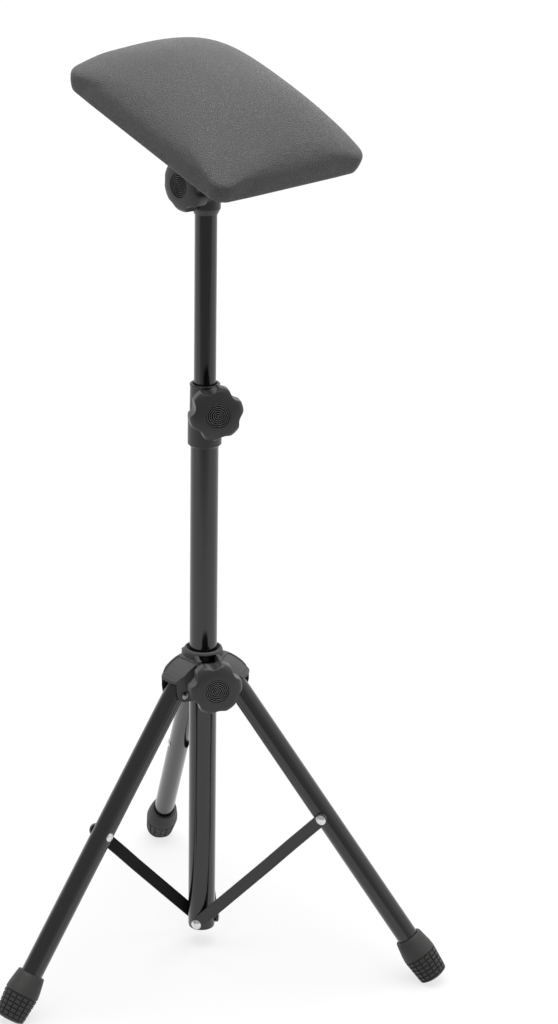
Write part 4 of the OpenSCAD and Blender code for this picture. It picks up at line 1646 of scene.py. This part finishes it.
@dataclass
class Tripod:
    """The hub, legs, braces and feet, with the rivets that join them."""

    shop: Workshop
    wing_half: float = 14.0
    leg_r: float = 10.0
    leg_wall: float = 1.2
    sole: float = 9.0
    head: float = 7.5
    brace_inner: float = 13.0
    brace_seat: float = 10.3
    brace_t: float = 2.5
    brace_half: float = 5.75
    brace_edge: float = 0.5
    bends: tuple[float, float] = (0.58, 0.76)
    bend_spread: tuple[float, ...] = (-2.0, -1.0, 0.0, 1.0, 2.0)
    end_turn: tuple[float, float] = (8.0, 82.0)
    end_steps: int = 9
    bar_steps: int = 60
    rivet_end: float = 6.944
    rivet_gap: float = 0.05
    pin_r: float = 3.9
    pin_h: float = 1.6
    pin_rim: float = 0.25
    # A near-black ring in the hub's upper rim, as painted shade in the gap round the column
    gap_shade: RimShade = RimShade(12.98, 14.7, 299.6, 303.1)

    def build(self) -> None:
        """Builds and places every piece of the tripod."""
        self.hub()
        foot = RubberFoot()
        for side in Side:
            self.leg(side)
            foot.build(self.shop, side)
            self.brace(side)
        self.rivets()

    def hub(self) -> None:
        """Dresses the moulded hub and its nut, and sets a near-black ring of painted shade in its
        upper rim.
        """
        self.shop.dress("hub_body", self.shop.hub_plastic)
        self.shop.dress("hub_nut", self.shop.zinc)
        self.gap_shade.build(self.shop, "hub_lining", "hub")

    def leg(self, side: Side) -> None:
        """Builds one leg tube and dresses its plug.

        Args:
            side: Which leg.
        """
        number = side.number
        tube = Tube(self.leg_r, self.leg_wall, self.sole - LAYOUT.leg_reach, self.head)
        tube.build(self.shop, f"leg_tube_{number}", f"leg_{number}", LAYOUT.leg(side))
        self.shop.dress(f"leg_cap_{number}", self.shop.plastic)

    def set_off(self, z: float) -> float:
        """Distance of a brace's inner face from the middle plane, at one place along the bar.

        Args:
            z: Distance from the column rivet.

        Returns:
            The distance, with the two bends slightly rounded.
        """
        low, high = (share * LAYOUT.brace_length for share in self.bends)
        total = 0.0
        for shift in self.bend_spread:
            share = min(1.0, max(0.0, (z + shift - low) / (high - low)))
            total += self.brace_inner + (self.brace_seat - self.brace_inner) * share
        return total / len(self.bend_spread)

    def brace(self, side: Side) -> None:
        """Builds one flat brace with rounded ends, broken edges and its two bends.

        Args:
            side: Which leg.
        """
        number, half, reach = side.number, self.brace_half, LAYOUT.brace_length
        first, sweep = self.end_turn
        steps = range(self.end_steps + 1)
        turn = [math.radians(first + sweep * k / self.end_steps) for k in steps]
        places = [(-half * math.cos(t), half * math.sin(t)) for t in turn]
        bar = range(self.bar_steps + 1)
        places += [(reach * (0.02 + 0.96 * k / self.bar_steps), half) for k in bar]
        places += [(reach + half * math.cos(t), half * math.sin(t)) for t in reversed(turn)]
        rings = []
        for z, wide in places:
            near = self.set_off(min(max(z, 0.0), reach))
            far, soft = near + self.brace_t, min(self.brace_edge, wide * 0.6)
            corners = [(wide, near), (wide, far), (-wide, far), (-wide, near)]
            section = filleted([(*corner, soft) for corner in corners], Spin.LOOP, 3)
            rings.append([Vector((x, -y, z)) for x, y in section])
        shell = Shell()
        shell.skin(rings, LAYOUT.brace(side), Spin.OPEN)
        name = f"brace_{number}"
        thing = linked(name + "_bar", shell.mesh(name))
        weighted(thing)
        # The inner face is marked, and the brace paint paints it darker and duller: painted shade
        # on the face turned in towards the leg
        inward = LAYOUT.brace(side).to_3x3() @ Vector((0, 1, 0))
        inner = thing.data.attributes.new("inner", "FLOAT", "FACE")
        for item, face in zip(inner.data, thing.data.polygons):
            item.value = float(face.normal.dot(inward) > 0.7)
        self.shop.place(thing, name, self.shop.brace_paint, "brace_paint", [name])

    def rivets(self) -> None:
        """Sets every rivet and pin of the tripod, one piece for each body."""
        outwards = turned(90, "X")
        inwards = turned(-90, "X")
        low_y = self.brace_inner + self.brace_t + self.rivet_gap
        low, pins = [], []
        for side in Side:
            foot = LAYOUT.radial(side, 0, LAYOUT.brace_low_z)
            low.append(foot @ moved(0, -low_y, 0) @ outwards)
            pivot = LAYOUT.radial(side, LAYOUT.leg_pivot_r, LAYOUT.leg_pivot_z)
            pins.append(pivot @ moved(0, -self.wing_half, 0) @ outwards)
        numbers = [side.number for side in Side]
        rivet = Rivet(length=low_y - self.rivet_end)
        self.fasten("column_rivets", "column", rivet, low, [f"column_rivet_{n}" for n in numbers])
        tail = Rivet(self.pin_r, self.pin_h, length=2 * self.leg_r, rim=self.pin_rim)
        pin = replace(tail, length=2 * self.wing_half, ends=2)
        nodes = [f"hub_pin_{n}" for n in numbers]
        self.fasten("hub_pins", "hub", pin, pins, nodes, self.shop.pin_steel)
        reach, seat = LAYOUT.brace_length, self.brace_seat + self.brace_t
        for side in Side:
            n = side.number
            at = LAYOUT.leg(side) @ moved(0, self.leg_r, -LAYOUT.leg_rivet_s) @ inwards
            self.fasten(f"leg_{n}_rivet", f"leg_{n}", tail, [at], [f"leg_rivet_{n}"])
            top = LAYOUT.brace(side) @ moved(0, -seat, reach) @ outwards
            rivet = Rivet(length=self.brace_t)
            self.fasten(f"brace_{n}_rivet", f"brace_{n}", rivet, [top], [f"brace_rivet_{n}"])

    def fasten(
        self,
        name: str,
        body: str,
        rivet: Rivet,
        places: Sequence[Matrix],
        nodes: Sequence[str],
        finish: Material | None = None,
    ) -> None:
        """Makes the rivets of one body.

        Args:
            name: The piece's name.
            body: The CAD body.
            rivet: The rivet or pin.
            places: Where each one goes.
            nodes: The CAD nodes that they stand for.
            finish: Their material, or None for chrome.
        """
        finish = finish or self.shop.chrome
        thing = self.shop.scatter(name, rivet.shell(), places, finish)
        self.shop.place(thing, body, finish, "rivet_chrome", nodes)


# ---- Padded rest


@dataclass
class PaddedRest:
    """The crowned pad with its wrapped cover, its backing and the bracket under it."""

    shop: Workshop
    length: float = 220.0
    width: float = 170.0
    edge: float = 21.9
    crown_rise: float = 38.8
    powers: tuple[float, float] = (2.27, 2.78)
    corner: float = 15.6
    least_corner: float = 0.22
    corner_reach: float = 42.0
    draw: float = 2.0
    cover: float = 4.0
    board: float = 12.0
    board_gap: float = 0.1
    rings: int = 26
    hem: float = 26.0
    pleat_reach: float = 0.13
    pleat_height: float = 0.55
    pleat_rate: float = 1.9
    taut: float = 4.0
    drawn: float = 4.2
    firm: float = 8.0
    slack: float = 0.5
    pressure: float = 4.0
    frames: int = 20
    settle_cap: float = 0.9
    ripple: float = 0.35
    ripple_rate: float = 28.0
    smooth_turn: float = 75.0
    cloth_inset: float = 15.0
    cloth_rings: int = 12
    cloth_z: tuple[float, float] = (-1.15, -1.75)
    window: tuple[float, float] = (0.34, 0.4)
    window_z: tuple[float, float] = (-1.2, -1.7)
    staple_inset: float = 4.5
    staple_corner: float = 10.0
    staple_pitch: float = 24.0
    # Inset, height and inset at a corner of each row of the side, from its foot to the crown
    side: tuple[tuple[float, float, float], ...] = (
        (1.0, 1.0, 3.2),
        (0.9, 4.4, 1.5),
        (1.0, 8.2, 0.4),
        (0.65, 12.0, 0.05),
        (0.1, 15.2, 0.05),
        (0.15, 17.0, 0.3),
        (0.8, 18.6, 1.0),
        (2.1, 19.8, 2.3),
        (4.2, 20.7, 4.3),
        (7.5, 21.4, 7.5),
        (12.0, 21.9, 12.0),
    )

    def cornering(self, x: float, y: float) -> float:
        """How near a place is to a corner of the pad.

        Args:
            x: Place along the tilt axis from the pad's middle.
            y: Place up the slope.

        Returns:
            A share from 0 to 1.
        """
        gap = math.hypot(self.width / 2 - abs(x), self.length / 2 - abs(y))
        near = max(0.0, 1 - gap / self.corner_reach)
        return near * near * (3 - 2 * near)

    def lift(self, x: float, y: float) -> float:
        """How far the cover stands over the plain crown: taut at a side, drawn down at a corner.

        Args:
            x: Place along the tilt axis from the pad's middle.
            y: Place up the slope.

        Returns:
            The lift in millimetres.
        """
        side = max(-x * 2 / self.width, abs(y) * 2 / self.length, 0.0)
        near = self.cornering(x, y)
        return self.taut * side**6 * (1 - near) - self.drawn * near

    def crown(self, x: float, y: float) -> float:
        """Height of the crown over the edge at one place.

        Args:
            x: Place along the tilt axis from the pad's middle.
            y: Place up the slope.

        Returns:
            The rise in millimetres.
        """
        along = 1 - min(1.0, abs(y) / (self.length / 2)) ** self.powers[1]
        across = 1 - min(1.0, abs(x) / (self.width / 2)) ** self.powers[0]
        return self.crown_rise * along * across

    def ring(
        self, inset: float, share: float = 1.0, rings: int | None = None
    ) -> list[tuple[float, float]]:
        """A rounded rectangle with as many points as a square of the grid.

        Args:
            inset: How far it is drawn in from the pad's outline.
            share: Share of its size, for the squares further in.
            rings: Rings of the whole grid, or None for the cover's.

        Returns:
            Its points, eight for each ring of the grid that it holds.
        """
        level = round((rings or self.rings) * share)
        half_x = (self.width / 2 - inset) * share
        half_y = (self.length / 2 - inset) * share
        radius = max(self.corner - inset, self.corner * self.least_corner) * share
        arc = radius * math.pi / 2
        x, y = half_x - radius, half_y - radius
        out = []
        for q, (sx, sy) in enumerate(QUARTERS):
            for k in range(2 * level):
                # Each quarter walks from the middle of a side to its corner, and back from the
                # next side's middle. The sides at the ends of X come first in an even quarter.
                before = k < level
                at_x = before == (q % 2 == 0)
                straight = y if at_x else x
                walk = (straight + arc / 2) * (k if before else 2 * level - k) / level
                if walk <= straight:
                    out.append((half_x * sx, walk * sy) if at_x else (walk * sx, half_y * sy))
                    continue
                turn = (walk - straight) / arc
                angle = math.pi / 2 * (q + (turn if before else 1 - turn))
                out.append((x * sx + radius * math.cos(angle), y * sy + radius * math.sin(angle)))
        return out

    def shell(self, slack: float) -> tuple[Shell, set[int]]:
        """The cover's closed mesh round the board.

        Args:
            slack: How much smaller the outside starts, to leave room for it to settle.

        Returns:
            The shell, and the points that the board and the staples hold still.
        """
        inner, gap = self.cover + self.draw, self.board_gap
        flat = [
            (inner, self.board + gap),
            (inner, self.board * 0.5),
            (inner, -gap),
            (self.hem * 0.6, -gap),
            (self.hem, -gap),
            (self.hem + 0.3, -0.5),
            (self.hem, -0.9),
            (self.hem * 0.72, -1.0),
            (self.hem * 0.45, -1.0),
            (self.draw + 3.6, -1.0),
            (self.draw + 1.8, -0.6),
        ]
        rows = [(inset, z, inset, 0.0) for inset, z in flat]
        for inset, z, turn in self.side:
            loose = min(1.0, max(0.0, (z - self.firm) / (self.edge - self.firm)))
            rows.append((inset + slack, z - slack * loose, turn + slack * 0.7, loose))
        rings = []
        count = 8 * self.rings
        for inset, z, turn, loose in rows:
            ring = []
            corner = self.ring(turn)
            for k, (x, y) in enumerate(self.ring(inset)):
                near = self.cornering(x, y)
                x += (corner[k][0] - x) * near
                y += (corner[k][1] - y) * near
                rise = loose * self.lift(x, y) + (self.crown(x, y) if loose > 0 else 0.0)
                ring.append(Vector((x, y, z + rise + self.pleat(k / count, inset, z))))
            rings.append(ring)
        # Both caps are square grids, so that no point gathers the crown's faces
        out = Shell()
        out.skin(rings, Matrix(), Spin.OPEN)
        del out.faces[-2:]
        under = self._cap(out, 0, lambda x, y: self.board + gap, inner)
        held = {*range(len(flat) * count), *under}
        top = self.edge - slack
        inset = self.side[-1][0] + slack
        border = (len(rows) - 1) * count
        self._cap(out, border, lambda x, y: top + self.crown(x, y) + self.lift(x, y), inset)
        return out, held

    def pleat(self, share: float, inset: float, z: float) -> float:
        """Height of the folds that gather the hem round the corners.

        Args:
            share: Place round the pad, as a share of the way round.
            inset: Distance in from the outline.
            z: Height of the ring.

        Returns:
            The fold's height, downwards.
        """
        if z > -0.3 or inset < self.draw + 2:
            return 0.0
        corner = abs(((share * 4) % 1) - 0.5)
        near = max(0.0, 1 - corner / self.pleat_reach)
        wave = 0.5 + 0.5 * math.sin(share * 8 * self.rings * self.pleat_rate)
        return -self.pleat_height * near * wave

    def _cap(
        self, out: Shell, border: int, height: Callable[[float, float], float], inset: float
    ) -> range:
        """Closes a border ring with a square grid of faces.

        Args:
            out: The shell.
            border: First point of the border ring.
            height: Height over each place.
            inset: Inset of the border ring.

        Returns:
            The new points.
        """
        first = len(out.points)
        previous = list(range(border, border + 8 * self.rings))
        for level in range(self.rings - 1, 0, -1):
            start = len(out.points)
            for x, y in self.ring(inset, level / self.rings):
                out.points.append(Vector((x, y, height(x, y))))
            here = list(range(start, start + 8 * level))
            self._step(out, previous, here)
            previous = here
        middle = len(out.points)
        out.points.append(Vector((0, 0, height(0, 0))))
        for a in range(0, 8, 2):
            out.faces.append((middle, previous[a], previous[a + 1], previous[(a + 2) % 8]))
        return range(first, middle + 1)

    def _step(self, out: Shell, outer: list[int], inner: list[int]) -> None:
        """Joins two squares of the grid, the outer one with eight points more.

        Args:
            out: The shell.
            outer: Points of the outer square.
            inner: Points of the inner square.
        """

        def quad(a: int, b: int) -> None:
            """Adds the face between one step of the outer square and one of the inner square."""
            next_a, next_b = (a + 1) % len(outer), (b + 1) % len(inner)
            out.faces.append((outer[a], outer[next_a], inner[next_b], inner[b]))

        big, small = len(outer) // 8, len(inner) // 8
        for q in range(4):
            # Each quarter runs from the middle of one side, past a corner, to the next middle
            start_out, start_in = 2 * big * q, 2 * small * q
            corner = start_out + big
            for k in range(small):
                quad(start_out + k, start_in + k)
            out.faces.append((*outer[corner - 1 : corner + 2], inner[start_in + small]))
            for k in range(small):
                quad(corner + 1 + k, start_in + small + k)

    def settle(self, thing: bpy.types.Object, held: set[int]) -> None:
        """Lets the cover settle over its foam, moving no point further than the cap.

        Args:
            thing: The pad, in its own frame.
            held: The points that stay still.
        """
        rest = [v.co.copy() for v in thing.data.vertices]
        group = thing.vertex_groups.new(name="held")
        group.add(sorted(held), 1.0, "REPLACE")
        cloth = thing.modifiers.new("cover", "CLOTH")
        settings = cloth.settings
        settings.quality = 5
        settings.mass = 0.3
        settings.tension_stiffness = settings.compression_stiffness = 12
        settings.shear_stiffness = 5
        settings.bending_stiffness = 2
        settings.use_pressure = True
        settings.uniform_pressure_force = self.pressure
        settings.vertex_group_mass = group.name
        settings.effector_weights.gravity = 0
        cloth.collision_settings.use_collision = False
        scene = bpy.context.scene
        for step in range(1, self.frames + 1):
            scene.frame_set(step)
        mesh = evaluated(thing)
        for vertex, start in zip(mesh.vertices, rest):
            move = vertex.co - start
            if move.length > self.settle_cap * MM:
                vertex.co = start + move.normalized() * self.settle_cap * MM
        scene.frame_set(1)
        thing.vertex_groups.clear()

    def build(self) -> None:
        """Builds and places the pad and what is under it."""
        shop = self.shop
        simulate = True
        shell, held = self.shell(self.slack if simulate else 0.0)
        thing = linked("pad_cover", shell.mesh("pad_cover"))
        if simulate:
            self.settle(thing, held)
        for vertex in thing.data.vertices:
            if vertex.co.z > self.edge * 0.5 * MM:
                vertex.co.z += noise.noise(vertex.co * self.ripple_rate) * self.ripple * MM
        finer = thing.modifiers.new("finer", "SUBSURF")
        finer.levels = finer.render_levels = 1
        evaluated(thing)
        set_in(thing.data, LAYOUT.pad())
        smooth(thing.data, math.radians(self.smooth_turn))
        shop.place(thing, "rest", shop.cover, "cover_leather", ["pad_cushion"])
        self.backing()
        shop.dress("pad_board", shop.wood)
        shop.dress("pad_bracket", shop.plastic)
        shop.dress("pad_screws", shop.zinc)

    def backing(self) -> None:
        """Builds the dust cloth under the board and the staples that hold it."""
        shop = self.shop
        outline = self.ring(self.cloth_inset, rings=self.cloth_rings)
        window = [(x * self.window[0], y * self.window[1]) for x, y in outline]
        levels = [(outline, z) for z in self.cloth_z]
        levels += [(window, z) for z in reversed(self.window_z)]
        shell = Shell()
        rings = [[Vector((x, y, z)) for x, y in ring] for ring, z in levels]
        shell.skin(rings, LAYOUT.pad(), Spin.LOOP)
        thing = linked("pad_dust_cloth", shell.mesh("pad_dust_cloth"))
        shop.place(thing, "rest", shop.cloth, "backing_cloth", ["pad_backing"])
        model = linked("template_staple", Staple().shell().mesh("template_staple"))
        bpy.context.view_layer.update()
        inset = 2 * (self.cloth_inset + self.staple_inset)
        line = shop.staples.grow(
            "pad_staples",
            bpy.data.meshes.new("staple_start"),
            {
                "Length": (self.length - inset) * MM,
                "Width": (self.width - inset) * MM,
                "Corner": self.staple_corner * MM,
                "Spacing": self.staple_pitch * MM,
                "Staple": model,
                "Finish": shop.zinc,
            },
        )
        bpy.data.objects.remove(model)
        set_in(line.data, LAYOUT.pad() @ moved(0, 0, self.cloth_z[1]) @ turned(180, "X"))
        shop.place(line, "rest", shop.zinc, "zinc_steel")


# ---- Studio


@dataclass(frozen=True)
class Studio:
    """A pale floor, soft light and the camera at the photograph's angle."""

    camera_place: tuple[float, float, float] = (-1434.1, -1642.0, 1224.4)
    heading: tuple[float, float] = (0.6738, 0.7389)
    pitch: float = 0.2935
    roll: float = 0.0126
    focal_px: float = 2548.8
    centre_px: tuple[float, float] = (257.3, 375.5)
    sky: float = 0.2
    sun: float = 2.55
    softness: float = 55.0
    sun_way: tuple[float, float, float] = (0.02, -0.04, 1.0)
    bounce: float = 0.26
    dark_from: float = -0.85
    dark_to: float = -1.7
    dark_level: float = 0.1
    dark_room: float = 0.45
    dark_way: tuple[float, float, float] = (-0.743, -0.141, 0.655)
    dark_span: tuple[float, float] = (-0.05, 0.6)
    sensor: float = 36.0
    floor_half: float = 30.0
    floor_drop: float = 0.0002

    def camera(self) -> None:
        """Sets the camera up as the photograph's was."""
        ahead = Vector((*self.heading, 0)).normalized()
        view = ahead * math.cos(self.pitch) - Vector((0, 0, math.sin(self.pitch)))
        level = view.cross(Vector((0, 0, 1))).normalized()
        upright = level.cross(view)
        right = level * math.cos(self.roll) + upright * math.sin(self.roll)
        up = upright * math.cos(self.roll) - level * math.sin(self.roll)
        lens = bpy.data.cameras.new("studio_camera")
        lens.sensor_width = self.sensor
        lens.lens = self.focal_px * lens.sensor_width / IMAGE_HEIGHT
        lens.shift_x = (IMAGE_WIDTH / 2 - self.centre_px[0]) / IMAGE_HEIGHT
        lens.shift_y = (self.centre_px[1] - IMAGE_HEIGHT / 2) / IMAGE_HEIGHT
        lens.clip_start, lens.clip_end = 0.05, 200.0
        camera = bpy.data.objects.new("studio_camera", lens)
        bpy.context.scene.collection.objects.link(camera)
        turn = Matrix((right, up, -view)).transposed().to_4x4()
        camera.matrix_world = Matrix.Translation(Vector(self.camera_place) * MM) @ turn
        bpy.context.scene.camera = camera

    def floor(self) -> None:
        """Lays the floor, white to the camera and to gloss, and pale in what it throws back."""
        half, z = self.floor_half, -self.floor_drop
        mesh = bpy.data.meshes.new("studio_floor")
        corners = [(-half, -half, z), (half, -half, z), (half, half, z), (-half, half, z)]
        mesh.from_pydata(corners, [], [(0, 1, 2, 3)])
        thing = linked("studio_floor", mesh)
        material = bpy.data.materials.new("studio_floor")
        material.use_nodes = True
        board = NodeBoard(material.node_tree)
        colour = (self.bounce, self.bounce, self.bounce, 1)
        matte = board.add("ShaderNodeBsdfDiffuse", {"Color": colour})
        ray = board.add("ShaderNodeLightPath").outputs
        # The room in front of the floor is dark, which only shows in reflections
        place = board.add("ShaderNodeTexCoord").outputs["Object"]
        ahead = board.dot(place, (*self.heading, 0.0))
        white = 1 - self.bounce * 0.9
        room = (self.dark_to, self.dark_from, self.dark_level, white)
        fall = board.span(ahead, *room, Easing.SOFT)
        shine = board.math("MULTIPLY", ray["Is Glossy Ray"], fall)
        level = board.math("MULTIPLY_ADD", ray["Is Camera Ray"], white, shine)
        glow = board.add("ShaderNodeEmission", {"Strength": level})
        both = board.add("ShaderNodeAddShader")
        board.wire(matte.outputs[0], both.inputs[0])
        board.wire(glow.outputs[0], both.inputs[1])
        board.add("ShaderNodeOutputMaterial", {"Surface": both.outputs[0]})
        mesh.materials.append(material)

    def world(self) -> None:
        """Lights the room: white where it is seen, and softer where it lights the object."""
        world = bpy.data.worlds.new("studio_world")
        bpy.context.scene.world = world
        world.use_nodes = True
        board = NodeBoard(world.node_tree)
        ray = board.add("ShaderNodeLightPath").outputs
        seen = board.math("MAXIMUM", ray["Is Camera Ray"], ray["Is Glossy Ray"])
        # The room over and behind the camera is dark, which only shows in reflections
        place = board.add("ShaderNodeTexCoord").outputs["Generated"]
        toward = board.dot(place, self.dark_way)
        fall = board.span(toward, *self.dark_span, 1.0, self.dark_room, Easing.SOFT)
        clear = board.math("MAXIMUM", ray["Is Camera Ray"], fall)
        both = board.add("ShaderNodeMixShader")
        board.wire(seen, both.inputs[0])
        for strength, target in ((self.sky, both.inputs[1]), (clear, both.inputs[2])):
            feeds = {"Color": (1, 1, 1, 1), "Strength": strength}
            board.wire(board.add("ShaderNodeBackground", feeds).outputs[0], target)
        board.add("ShaderNodeOutputWorld", {"Surface": both.outputs[0]})

    def lamps(self) -> None:
        """Hangs one broad soft lamp overhead, a little to the camera's right."""
        light = bpy.data.lights.new("studio_sun", "SUN")
        light.energy = self.sun
        light.angle = math.radians(self.softness)
        thing = bpy.data.objects.new("studio_sun", light)
        bpy.context.scene.collection.objects.link(thing)
        thing.matrix_world = Vector(self.sun_way).to_track_quat("Z", "Y").to_matrix().to_4x4()

    def build(self) -> None:
        """Sets the whole studio up."""
        self.camera()
        self.floor()
        self.world()
        self.lamps()
        bpy.context.scene.view_settings.view_transform = "Standard"


def main() -> None:
    """Builds every sub-assembly in order."""
    logging.basicConfig(level=logging.INFO, format="%(name)s: %(message)s")
    Studio().build()
    shop = Workshop()
    TelescopicColumn(shop).build()
    Tripod(shop).build()
    PaddedRest(shop).build()
    Clamps(shop).build()


if __name__ == "__main__":
    main()
